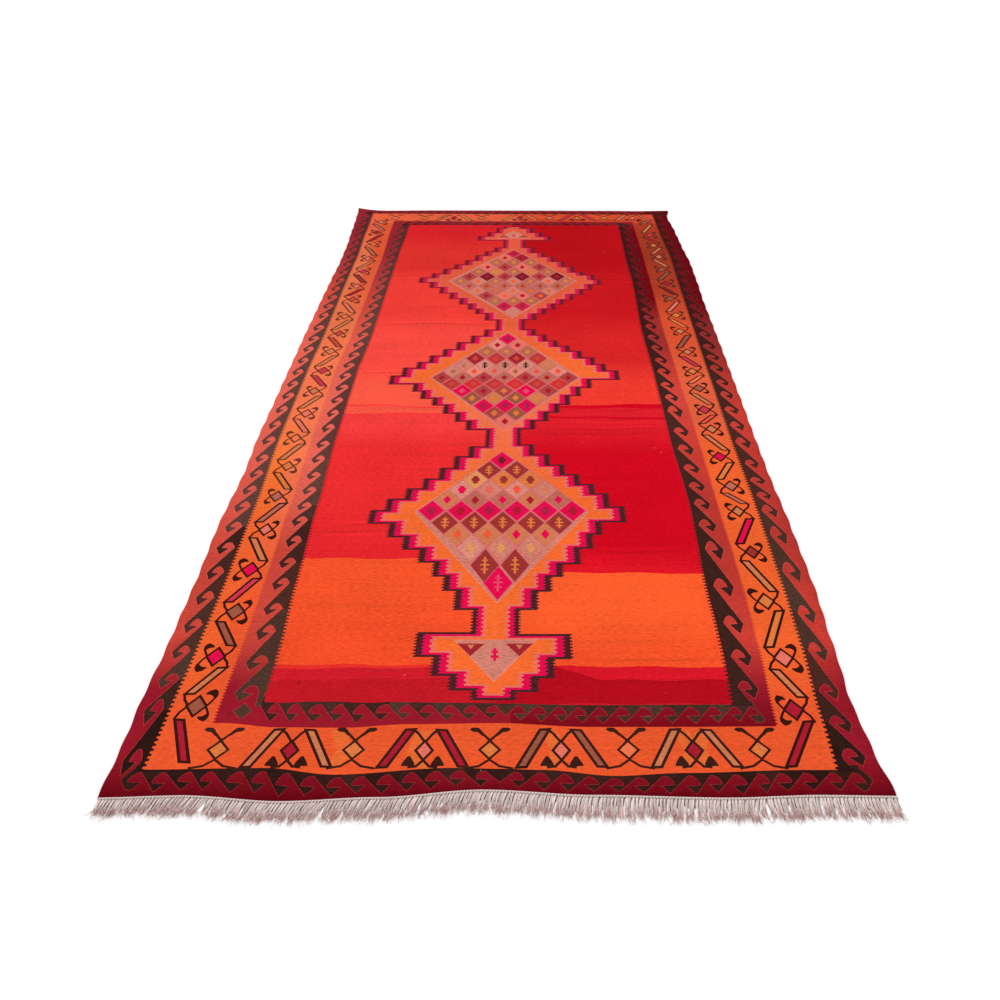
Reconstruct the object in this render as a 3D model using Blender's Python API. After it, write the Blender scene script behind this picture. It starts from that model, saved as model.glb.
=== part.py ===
"""A flat-woven kilim rug lying on the floor, with a fringe of warp bundles at its near end.

Metres, +Z up. The floor is z = 0. X runs across the rug and Y along it, and -Y is the
fringed end. The origin is the centre of the rug's outer box, on the floor.
"""

import math
import random

import bmesh
import bpy
import numpy as np

# --- Driving dimensions ---------------------------------------------------------------

CLOTH_WIDTH = 1.650
CLOTH_LENGTH = 3.400
CLOTH_THICKNESS = 0.003
CLOTH_COLUMNS = 24
CLOTH_ROWS = 96

# How far each selvedge stands out past half the width, along the rug.
# station: place along the rug; left, right: outward offset of each selvedge.
SELVEDGE_COLUMNS = ("station", "left", "right")
SELVEDGE_TABLE = (
    (-1.70, 0.005, 0.008),
    (-1.58, 0.002, -0.006),
    (-1.46, 0.004, -0.013),
    (-1.30, 0.000, -0.004),
    (-1.08, 0.001, 0.006),
    (-0.84, 0.008, 0.006),
    (-0.60, 0.001, 0.001),
    (-0.40, 0.008, 0.002),
    (-0.15, 0.006, 0.005),
    (0.25, 0.005, 0.008),
    (0.60, 0.001, 0.009),
    (0.84, -0.003, 0.015),
    (1.02, -0.008, 0.017),
    (1.24, -0.006, 0.007),
    (1.42, 0.002, 0.002),
    (1.62, 0.009, -0.010),
    (1.70, 0.011, 0.006),
)
SCALLOP_HEIGHT = 0.0022
SCALLOP_PITCH = 0.094

# How far each end stands out past half the length, across the rug.
END_COLUMNS = ("station", "near", "far")
END_TABLE = (
    (-0.83, 0.002, 0.017),
    (-0.65, -0.003, 0.016),
    (-0.45, 0.010, 0.020),
    (-0.25, 0.001, 0.019),
    (-0.03, -0.016, 0.018),
    (0.20, -0.004, 0.016),
    (0.48, 0.002, 0.013),
    (0.67, -0.004, 0.009),
    (0.83, -0.002, 0.014),
)

# Soft ripples left by folding. Each is a low ridge whose crest runs nearly across.
RIPPLE_COLUMNS = ("x", "y", "half_length", "half_width", "height", "slope")
RIPPLE_TABLE = (
    (0.66, 0.86, 0.17, 0.075, 0.0035, 0.02),
    (-0.33, 0.43, 0.22, 0.080, 0.0035, -0.03),
    (-0.47, 0.04, 0.28, 0.075, 0.0045, 0.00),
    (0.45, -0.22, 0.27, 0.075, 0.0045, 0.05),
    (-0.45, -0.21, 0.25, 0.080, 0.0040, -0.06),
    (0.42, -0.37, 0.22, 0.070, 0.0040, 0.04),
    (-0.56, -0.83, 0.20, 0.075, 0.0045, -0.04),
    (0.55, -0.94, 0.20, 0.080, 0.0040, 0.03),
    (0.42, -1.22, 0.26, 0.070, 0.0050, 0.04),
    (0.72, -1.52, 0.12, 0.080, 0.0030, 0.00),
)

# The far left corner curls off the floor.
CORNER_LIFT = 0.014
CORNER_REACH = 0.150

FRINGE_GAP = 0.0003
FRINGE_HEADING_DEPTH = 0.006
FRINGE_THICKNESS = 0.003
FRINGE_STRANDS = 220
STRAND_ROOT_WIDTH = 0.0044
STRAND_SEED = 7

# Length and sideways lean of the strands, across the rug.
FRINGE_COLUMNS = ("station", "length", "lean")
FRINGE_TABLE = (
    (-0.83, 0.038, -0.10),
    (-0.60, 0.040, -0.28),
    (-0.30, 0.045, -0.32),
    (0.00, 0.047, -0.22),
    (0.30, 0.048, -0.05),
    (0.60, 0.050, 0.04),
    (0.83, 0.048, 0.08),
)
# Where the strands part and lean away from each other.
PARTING_COLUMNS = ("station", "opening", "reach")
PARTING_TABLE = (
    (-0.60, 0.20, 0.05),
    (-0.35, 0.16, 0.05),
    (0.56, 0.18, 0.06),
)
# Rings of a strand from its root to its tip.
RING_COLUMNS = ("along", "width", "thickness", "wobble")
RING_TABLE = (
    (0.55, 0.0038, 0.0026, 0.0006),
    (1.00, 0.0026, 0.0014, 0.0009),
)

CLOTH_COLOUR = (0.62, 0.03, 0.03, 1.0)
FRINGE_COLOUR = (0.72, 0.50, 0.45, 1.0)
WOOL_ROUGHNESS = 0.9

HALF_WIDTH = CLOTH_WIDTH / 2
HALF_LENGTH = CLOTH_LENGTH / 2


# --- The rug's outline and folds ------------------------------------------------------

def column(table, names, name):
    """One named column of a table, as an array."""
    return np.array([row[names.index(name)] for row in table])


def smooth_lookup(table, names, name, at):
    """A table's column read at a station, with level turns at every row."""
    stations = column(table, names, "station")
    values = column(table, names, name)
    at = min(max(at, stations[0]), stations[-1])
    upper = min(max(int(np.searchsorted(stations, at)), 1), len(stations) - 1)
    part = (at - stations[upper - 1]) / (stations[upper] - stations[upper - 1])
    blend = part * part * (3 - 2 * part)
    return float(values[upper - 1] + (values[upper] - values[upper - 1]) * blend)


def selvedge(side, y):
    """X of a selvedge at the place y. The side is "left" or "right"."""
    scallop = SCALLOP_HEIGHT * math.sin(2 * math.pi * y / SCALLOP_PITCH)
    out = HALF_WIDTH + smooth_lookup(SELVEDGE_TABLE, SELVEDGE_COLUMNS, side, y) + scallop
    return -out if side == "left" else out


def end_edge(end, x):
    """Y of an end of the cloth at the place x. The end is "near" or "far"."""
    out = HALF_LENGTH + smooth_lookup(END_TABLE, END_COLUMNS, end, x)
    return -out if end == "near" else out


def cloth_place(across, along):
    """The floor place of a cloth point, from shares between 0 and 1 of width and length."""
    flat_x = (across - 0.5) * CLOTH_WIDTH
    y = end_edge("near", flat_x) * (1 - along) + end_edge("far", flat_x) * along
    x = selvedge("left", y) * (1 - across) + selvedge("right", y) * across
    return x, y


def swell(distance, reach):
    """A smooth hump: 1 in the middle, 0 from the reach outwards."""
    if abs(distance) >= reach:
        return 0.0
    return math.cos(math.pi / 2 * distance / reach) ** 2


def lift(x, y):
    """Height of the cloth's underside over the floor."""
    height = 0.0
    for row in RIPPLE_TABLE:
        ripple = dict(zip(RIPPLE_COLUMNS, row))
        off_crest = y - ripple["y"] - ripple["slope"] * (x - ripple["x"])
        along_crest = swell(x - ripple["x"], ripple["half_length"])
        height += ripple["height"] * along_crest * swell(off_crest, ripple["half_width"])
    corner = math.hypot(x - selvedge("left", HALF_LENGTH), y - end_edge("far", -HALF_WIDTH))
    return height + CORNER_LIFT * max(0.0, 1 - corner / CORNER_REACH) ** 2


# --- Pieces ---------------------------------------------------------------------------

def wool(name, colour):
    """A matt wool material."""
    material = bpy.data.materials.new(name)
    material.use_nodes = True
    shader = material.node_tree.nodes["Principled BSDF"]
    shader.inputs["Base Color"].default_value = colour
    shader.inputs["Roughness"].default_value = WOOL_ROUGHNESS
    shader.inputs["Metallic"].default_value = 0.0
    return material


def add_piece(name, bm, colour):
    """Turn a finished bmesh into a named object with its own material."""
    bmesh.ops.recalc_face_normals(bm, faces=bm.faces)
    mesh = bpy.data.meshes.new(name)
    bm.to_mesh(mesh)
    bm.free()
    piece = bpy.data.objects.new(name, mesh)
    mesh.materials.append(wool(name + "_wool", colour))
    bpy.context.collection.objects.link(piece)
    return piece


def make_cloth():
    """The woven cloth: a grid on the cloth's underside, thickened upwards."""
    bm = bmesh.new()
    bmesh.ops.create_grid(bm, x_segments=CLOTH_COLUMNS, y_segments=CLOTH_ROWS, size=0.5)
    for vert in bm.verts:
        x, y = cloth_place(vert.co.x + 0.5, vert.co.y + 0.5)
        vert.co = (x, y, lift(x, y))
    piece = add_piece("kilim_cloth", bm, CLOTH_COLOUR)
    if piece.data.polygons[0].normal.z < 0:
        piece.data.flip_normals()
    thicken = piece.modifiers.new("thickness", "SOLIDIFY")
    thicken.thickness = CLOTH_THICKNESS
    thicken.offset = 1.0
    return piece


def cloth_near_edge(x):
    """Y of the cloth's straight-faceted near edge at the place x."""
    shares = [index / CLOTH_COLUMNS for index in range(CLOTH_COLUMNS + 1)]
    corners = np.array([cloth_place(across, 0.0) for across in shares])
    return float(np.interp(x, corners[:, 0], corners[:, 1]))


def strand_lean(x):
    """Sideways lean of a strand rooted at x, in metres a metre, with the partings."""
    lean = smooth_lookup(FRINGE_TABLE, FRINGE_COLUMNS, "lean", x)
    for row in PARTING_TABLE:
        parting = dict(zip(PARTING_COLUMNS, row))
        away = x - parting["station"]
        fade = math.exp(-abs(away) / parting["reach"])
        lean += math.copysign(parting["opening"] * fade, away)
    return lean


def grow_strand(bm, root_face, root_x, length, dice):
    """Extrude one four-sided strand from a face on the heading's near side."""
    face = root_face
    centre = root_x
    middle_height = FRINGE_THICKNESS / 2
    root_y = min(vert.co.y for vert in face.verts)
    lean = strand_lean(root_x)
    for row in RING_TABLE:
        ring = dict(zip(RING_COLUMNS, row))
        face = bmesh.ops.extrude_discrete_faces(bm, faces=[face])["faces"][0]
        reach = length * ring["along"]
        next_centre = root_x + lean * reach + dice.uniform(-1, 1) * ring["wobble"]
        for vert in face.verts:
            side = math.copysign(ring["width"] / 2, vert.co.x - centre)
            top = ring["thickness"] if vert.co.z > middle_height else 0.0
            vert.co = (next_centre + side, root_y - reach, top)
        centre = next_centre
        middle_height = ring["thickness"] / 2


def make_fringe():
    """The near fringe: a narrow heading along the cloth's end with strands fused to it."""
    dice = random.Random(STRAND_SEED)
    bm = bmesh.new()
    left = cloth_place(0.0, 0.0)[0]
    right = cloth_place(1.0, 0.0)[0]
    pitch = (right - left) / FRINGE_STRANDS
    margin = (pitch - STRAND_ROOT_WIDTH) / 2
    stations = [left]
    for index in range(FRINGE_STRANDS):
        stations.append(left + index * pitch + margin)
        stations.append(left + (index + 1) * pitch - margin)
    stations.append(right)

    sections = []
    for x in stations:
        back = cloth_near_edge(x) - FRINGE_GAP
        front = back - FRINGE_HEADING_DEPTH
        corners = ((back, 0.0), (front, 0.0), (front, FRINGE_THICKNESS), (back, FRINGE_THICKNESS))
        sections.append([bm.verts.new((x, y, z)) for y, z in corners])
    bm.faces.new(sections[0])
    bm.faces.new(reversed(sections[-1]))
    front_faces = []
    for here, there in zip(sections, sections[1:]):
        for side in range(4):
            after = (side + 1) % 4
            face = bm.faces.new((here[side], there[side], there[after], here[after]))
            if side == 1:
                front_faces.append(face)

    for index in range(FRINGE_STRANDS):
        root_x = left + (index + 0.5) * pitch
        length = smooth_lookup(FRINGE_TABLE, FRINGE_COLUMNS, "length", root_x)
        length *= dice.uniform(0.90, 1.08)
        grow_strand(bm, front_faces[2 * index + 1], root_x, length, dice)
    return add_piece("fringe_near", bm, FRINGE_COLOUR)


def centre_on_origin(pieces):
    """Move the pieces' points together, so that their outer box is centred on X and Y."""
    points = np.array([vert.co for piece in pieces for vert in piece.data.vertices])
    middle = (points.min(axis=0) + points.max(axis=0)) / 2
    for piece in pieces:
        for vert in piece.data.vertices:
            vert.co.x -= middle[0]
            vert.co.y -= middle[1]


def main():
    for old in list(bpy.data.objects):
        bpy.data.objects.remove(old, do_unlink=True)
    centre_on_origin([make_cloth(), make_fringe()])


main()
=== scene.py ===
"""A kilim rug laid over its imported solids: the woven cloth, its warp fringe, floor, light and camera.

Metres, +Z up, +Y along the rug away from the fringed end. The pattern is drawn in the cloth's own
plan, whose middle is the middle of the cloth, and is then moved to the frame's origin.
"""
import logging
import math
from collections.abc import Sequence
from dataclasses import dataclass, field
from enum import Enum

import bpy
import numpy as np
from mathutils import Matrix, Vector
from mathutils.geometry import delaunay_2d_cdt


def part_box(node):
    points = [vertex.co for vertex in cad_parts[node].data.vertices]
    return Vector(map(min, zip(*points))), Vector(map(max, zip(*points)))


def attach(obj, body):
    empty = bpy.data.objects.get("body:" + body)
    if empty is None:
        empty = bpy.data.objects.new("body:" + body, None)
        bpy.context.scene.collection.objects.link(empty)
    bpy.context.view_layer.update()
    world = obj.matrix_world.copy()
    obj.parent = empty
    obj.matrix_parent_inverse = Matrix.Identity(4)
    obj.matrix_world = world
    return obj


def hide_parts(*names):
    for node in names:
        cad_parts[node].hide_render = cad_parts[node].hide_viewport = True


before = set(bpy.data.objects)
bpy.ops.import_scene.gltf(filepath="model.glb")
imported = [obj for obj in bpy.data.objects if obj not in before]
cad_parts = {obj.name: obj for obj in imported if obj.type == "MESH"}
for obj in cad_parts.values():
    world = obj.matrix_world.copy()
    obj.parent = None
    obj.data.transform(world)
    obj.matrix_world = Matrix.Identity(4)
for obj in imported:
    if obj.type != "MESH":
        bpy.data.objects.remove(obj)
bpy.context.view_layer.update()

log = logging.getLogger("kilim")
MM = 0.001
Points = np.ndarray


# --- Small helpers --------------------------------------------------------------------

@dataclass(frozen=True)
class Chart:
    """A short table of named columns.

    Attributes:
        names: the columns' names in one string, parted by spaces.
        rows: the rows, each with one value for each name.
    """
    names: str
    rows: tuple

    def column(self, name: str) -> Points:
        """One named column as an array."""
        return np.array([row[self.names.split().index(name)] for row in self.rows])

    def records(self) -> list[dict]:
        """Every row as a dictionary of its named values."""
        return [dict(zip(self.names.split(), row)) for row in self.rows]

    def corners(self) -> Points:
        """Every row as a plan point in metres, from millimetres."""
        return np.array(self.rows) * MM

    def eased(self, name: str, at: Points, key: str = "station") -> Points:
        """A column between its stations, with level turns at every row.

        Args:
            name: the column that is read.
            at: the places at which it is read.
            key: the column of stations, in rising order.

        Returns:
            The column at each place: the rows' values blended by 3t^2 - 2t^3.
        """
        stations, values = self.column(key), self.column(name)
        at = np.clip(at, stations[0], stations[-1])
        upper = np.clip(np.searchsorted(stations, at), 1, len(stations) - 1)
        part = (at - stations[upper - 1]) / (stations[upper] - stations[upper - 1])
        blend = part * part * (3 - 2 * part)
        return values[upper - 1] + (values[upper] - values[upper - 1]) * blend


def srgb_to_linear(colour: Sequence[float]) -> Points:
    """Linear light of sRGB values from 0 to 255, by the sRGB power curve."""
    share = np.asarray(colour, float) / 255
    return np.where(share <= 0.04045, share / 12.92, ((share + 0.055) / 1.055) ** 2.4)


def smooth_hump(distance: Points, reach: float) -> Points:
    """A smooth hump: the square of a cosine, 1 in the middle and 0 from the reach outwards."""
    return np.where(np.abs(distance) < reach, np.cos(np.pi / 2 * distance / reach) ** 2, 0.0)


def make_mesh(name: str, points: Points, faces: Points) -> bpy.types.Object:
    """A new object from points and faces of one size, linked to the scene.

    Args:
        name: the piece's name.
        points: the corners, one row of x, y and z each.
        faces: the faces, one row of corner numbers each, anticlockwise from outside.

    Returns:
        The new object.
    """
    mesh = bpy.data.meshes.new(name)
    mesh.vertices.add(len(points))
    mesh.vertices.foreach_set("co", np.asarray(points, np.float32).ravel())
    mesh.loops.add(faces.size)
    mesh.loops.foreach_set("vertex_index", faces.astype(np.int32).ravel())
    mesh.polygons.add(len(faces))
    mesh.polygons.foreach_set("loop_start", np.arange(len(faces), dtype=np.int32) * faces.shape[1])
    mesh.update(calc_edges=True)
    mesh.validate()
    piece = bpy.data.objects.new(name, mesh)
    bpy.context.scene.collection.objects.link(piece)
    return piece


def bake_map(piece: bpy.types.Object, points: Points, faces: Points, margin: float) -> None:
    """Give a piece its own plan as the UV map OFBake.

    Args:
        piece: the piece.
        points, faces: its mesh.
        margin: share of the picture left free on each side.
    """
    low, high = points.min(axis=0)[:2], points.max(axis=0)[:2]
    flat = (points[:, :2] - low) / (high - low) * (1 - 2 * margin) + margin
    layer = piece.data.uv_layers.new(name="OFBake")
    layer.data.foreach_set("uv", flat[faces.ravel()].astype(np.float32).ravel())


# --- Wool -----------------------------------------------------------------------------

@dataclass(frozen=True)
class Yarn:
    """One dye lot of hand-spun weft wool.

    Attributes:
        colour: sRGB red, green and blue from 0 to 255.
        marl: share of grey and blue fibre carded into it, 0 to 1.
        fleck: how far the rows differ from one another, 0 to 1.
    """
    colour: tuple[int, int, int]
    marl: float = 0.0
    fleck: float = 0.35

    def carded(self, other: "Yarn", share: float) -> "Yarn":
        """This lot with a share of another carded in.

        Args:
            other: the other lot.
            share: its share, 0 to 1.

        Returns:
            A lot whose colour, marl and fleck are blended in a line.
        """
        colour = tuple(round(a + (b - a) * share) for a, b in zip(self.colour, other.colour))
        return Yarn(colour, self.marl + (other.marl - self.marl) * share,
                    self.fleck + (other.fleck - self.fleck) * share)


class Dye(Enum):
    """The dye lots that the weaver had at hand."""
    BURGUNDY = Yarn((152, 26, 42))
    BURGUNDY_DEEP = Yarn((104, 9, 20), 0.0, 0.4)
    BURGUNDY_NIGHT = Yarn((114, 10, 21), 0.0, 0.4)
    MADDER_DARK = Yarn((160, 48, 45), 0.0, 0.45)
    MADDER_DULL = Yarn((136, 40, 41), 0.0, 0.45)
    SALMON = Yarn((201, 70, 57), 0.0, 0.5)
    SALMON_WARM = Yarn((219, 88, 72), 0.03, 0.5)
    SALMON_PALE = Yarn((230, 100, 84), 0.05, 0.5)
    BRICK = Yarn((204, 62, 52), 0.0, 0.45)
    BRICK_DULL = Yarn((184, 55, 49), 0.0, 0.45)
    BRICK_PALE = Yarn((210, 70, 60), 0.0, 0.45)
    ROSE_BROWN = Yarn((168, 52, 56), 0.05, 0.5)
    ROSE_DARK = Yarn((148, 34, 44), 0.05, 0.5)
    OUTLINE = Yarn((206, 82, 68), 0.0, 1.2)
    OUTLINE_PALE = Yarn((222, 98, 92), 0.0, 1.2)
    OUTLINE_DEEP = Yarn((176, 52, 52), 0.0, 1.2)
    OUTLINE_END = Yarn((150, 44, 42), 0.0, 1.2)
    WALNUT_BLACK = Yarn((43, 22, 18), 0.03, 0.8)
    WALNUT = Yarn((60, 31, 26), 0.04, 0.8)
    WALNUT_MOSS = Yarn((76, 50, 38), 0.12, 0.8)
    WALNUT_WARM = Yarn((74, 37, 30), 0.06, 0.8)
    WALNUT_GREY = Yarn((97, 59, 49), 0.18, 0.8)
    WALNUT_ROSE = Yarn((94, 49, 44), 0.12, 0.8)
    WALNUT_WINE = Yarn((66, 21, 22), 0.04, 0.8)
    WALNUT_DUSK = Yarn((84, 39, 37), 0.08, 0.8)
    WALNUT_LINE = Yarn((56, 24, 18), 0.0, 0.6)
    WALNUT_LINE_FADED = Yarn((104, 54, 36), 0.05, 0.6)
    SPINE_NEAR = Yarn((74, 27, 32), 0.10, 1.0)
    SPINE_FAR = Yarn((116, 24, 41), 0.08, 0.9)
    ORANGE = Yarn((238, 97, 46), 0.0, 0.4)
    ORANGE_DEEP = Yarn((214, 78, 46), 0.0, 0.4)
    ORANGE_WARM = Yarn((248, 118, 54), 0.0, 0.4)
    ORANGE_PINK = Yarn((244, 118, 78), 0.0, 0.4)
    ORANGE_FADED = Yarn((228, 114, 74), 0.0, 0.4)
    ORANGE_ROSE = Yarn((226, 96, 62), 0.0, 0.4)
    ORANGE_BRICK = Yarn((218, 84, 50), 0.0, 0.4)
    ORANGE_BROWN = Yarn((172, 58, 36), 0.0, 0.4)
    ORANGE_DARK = Yarn((152, 54, 34), 0.0, 0.4)
    ORANGE_END = Yarn((234, 88, 45), 0.0, 0.45)
    AMBER = Yarn((232, 106, 50), 0.0, 0.4)
    RING = Yarn((244, 106, 48), 0.0, 0.5)
    RING_PINK = Yarn((240, 112, 74), 0.0, 0.5)
    RING_FAR = Yarn((222, 90, 60), 0.0, 0.5)
    GOLD = Yarn((222, 121, 60), 0.06, 0.6)
    GOLD_PALE = Yarn((226, 148, 88), 0.1, 0.6)
    TAN = Yarn((208, 120, 78), 0.12, 0.6)
    TAN_PALE = Yarn((222, 124, 86), 0.25, 0.6)
    TAUPE = Yarn((192, 101, 82), 0.35, 0.7)
    TAUPE_BROWN = Yarn((158, 79, 55), 0.3, 0.7)
    OLIVE = Yarn((184, 100, 68), 0.35, 0.7)
    MARL = Yarn((217, 126, 106), 0.5, 0.9)
    MARL_PALE = Yarn((223, 138, 119), 0.4, 0.9)
    MAGENTA = Yarn((228, 14, 76))
    MAGENTA_SOFT = Yarn((208, 50, 78), 0.05, 0.5)
    MAGENTA_FAR = Yarn((204, 36, 66), 0.0, 0.4)
    PURPLE = Yarn((168, 28, 66), 0.1, 0.5)
    PINK = Yarn((222, 74, 100), 0.1, 0.5)
    ROSE = Yarn((229, 113, 96), 0.05, 0.6)
    ROSE_PALE = Yarn((230, 134, 118), 0.15, 0.6)
    ROSE_FAR = Yarn((212, 94, 84), 0.05, 0.6)
    LILAC = Yarn((214, 102, 106), 0.15, 0.6)
    CRIMSON = Yarn((172, 29, 48))
    CRIMSON_BROWN = Yarn((160, 36, 44), 0.05, 0.5)
    MAROON = Yarn((156, 48, 46), 0.08, 0.5)
    MAROON_PALE = Yarn((174, 66, 62), 0.08, 0.5)
    MADDER_PALE = Yarn((192, 54, 55), 0.05, 0.4)
    MAROON_DARK = Yarn((118, 27, 36), 0.05, 0.5)
    CORAL = Yarn((236, 84, 62), 0.0, 0.4)
    SCARLET = Yarn((212, 50, 52), 0.0, 0.3)
    FIELD_PLUM = Yarn((194, 26, 37), 0.0, 0.55)
    FIELD_CRIMSON = Yarn((206, 29, 43), 0.0, 0.55)
    FIELD_FLAME = Yarn((228, 48, 40), 0.0, 0.55)
    FIELD_EMBER = Yarn((241, 78, 40), 0.0, 0.55)
    FIELD_ORANGE = Yarn((244, 83, 42), 0.0, 0.55)
    FIELD_SCARLET = Yarn((226, 38, 43), 0.0, 0.55)
    FIELD_POPPY = Yarn((234, 45, 47), 0.0, 0.55)
    FIELD_ROSE = Yarn((243, 62, 60), 0.0, 0.55)
    FIELD_CORAL = Yarn((249, 88, 68), 0.0, 0.55)
    FIELD_SHRIMP = Yarn((246, 74, 64), 0.0, 0.55)
    FIELD_RUST = Yarn((236, 61, 53), 0.0, 0.55)
    FIELD_BRICK = Yarn((217, 49, 44), 0.0, 0.55)
    FIELD_CHERRY = Yarn((213, 35, 41), 0.0, 0.55)
    RIGHT_PLUM = Yarn((182, 14, 29), 0.0, 0.55)
    RIGHT_SCARLET = Yarn((216, 24, 40), 0.0, 0.55)
    RIGHT_EMBER = Yarn((243, 80, 40), 0.0, 0.55)
    RIGHT_ORANGE = Yarn((252, 93, 44), 0.0, 0.55)
    RIGHT_RUBY = Yarn((224, 22, 38), 0.0, 0.55)
    RIGHT_CRIMSON = Yarn((208, 10, 31), 0.0, 0.55)
    RIGHT_ROSE = Yarn((222, 32, 43), 0.0, 0.55)
    RIGHT_POPPY = Yarn((238, 58, 47), 0.0, 0.55)
    RIGHT_CLAY = Yarn((215, 36, 38), 0.0, 0.55)
    RIGHT_GARNET = Yarn((200, 24, 31), 0.0, 0.55)
    RIGHT_OXBLOOD = Yarn((183, 17, 25), 0.0, 0.55)


@dataclass(frozen=True)
class Abrash:
    """Dye lots along the rug, where each lot runs into the next by carded wool.

    Attributes:
        stops: station of each full lot and its dye, from the near end.
        waver: how far the lots wander from motif to motif, as a share of the step between two.
    """
    stops: tuple[tuple[float, Dye], ...]
    waver: float = 0.18

    def along(self, y: Points) -> Points:
        """The wool at many places, in straight lines between the stops.

        Args:
            y: places along the rug.

        Returns:
            Linear red, green and blue, marl and fleck, one row for each place.
        """
        stations = [stop[0] for stop in self.stops]
        lots = [stop[1].value for stop in self.stops]
        table = np.array([[*srgb_to_linear(lot.colour), lot.marl, lot.fleck] for lot in lots])
        return np.stack([np.interp(y, stations, column) for column in table.T], -1)

    def at(self, y: float, dice: np.random.Generator | None = None) -> Yarn:
        """The lot at one place: the stops' lots carded together by the place between them.

        Args:
            y: the place along the rug.
            dice: the source of chance for the waver, or None for no waver.

        Returns:
            The carded lot.
        """
        stations = np.array([stop[0] for stop in self.stops])
        upper = int(np.clip(np.searchsorted(stations, y), 1, len(stations) - 1))
        share = (y - stations[upper - 1]) / (stations[upper] - stations[upper - 1])
        if dice is not None:
            share += dice.uniform(-self.waver, self.waver)
        first, second = (self.stops[upper + step][1].value for step in (-1, 0))
        return first.carded(second, round(float(np.clip(share, 0, 1)), 2))


def read_word(text: str) -> object:
    """One word of a table.

    Args:
        text: values parted by slashes, the name of a dye, a number, or another word.

    Returns:
        A tuple, a dye, a number, or the word itself.
    """
    if "/" in text:
        return tuple(read_word(part) for part in text.strip("/").split("/"))
    if text in Dye.__members__:
        return Dye[text]
    return float(text) if text[-1].isdigit() else text


def table(names: str, text: str) -> Chart:
    """A chart written as text: words in a row, rows parted by commas.

    Args:
        names: the columns' names.
        text: the rows.

    Returns:
        The chart.
    """
    return Chart(names, tuple(tuple(map(read_word, row.split())) for row in text.split(",")))


def lots(text: str) -> Abrash:
    """Dye lots along the rug, written as stations and dyes, with the stops parted by commas."""
    return Abrash(table("station dye", text).rows)


# --- The cloth's form -----------------------------------------------------------------

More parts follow.
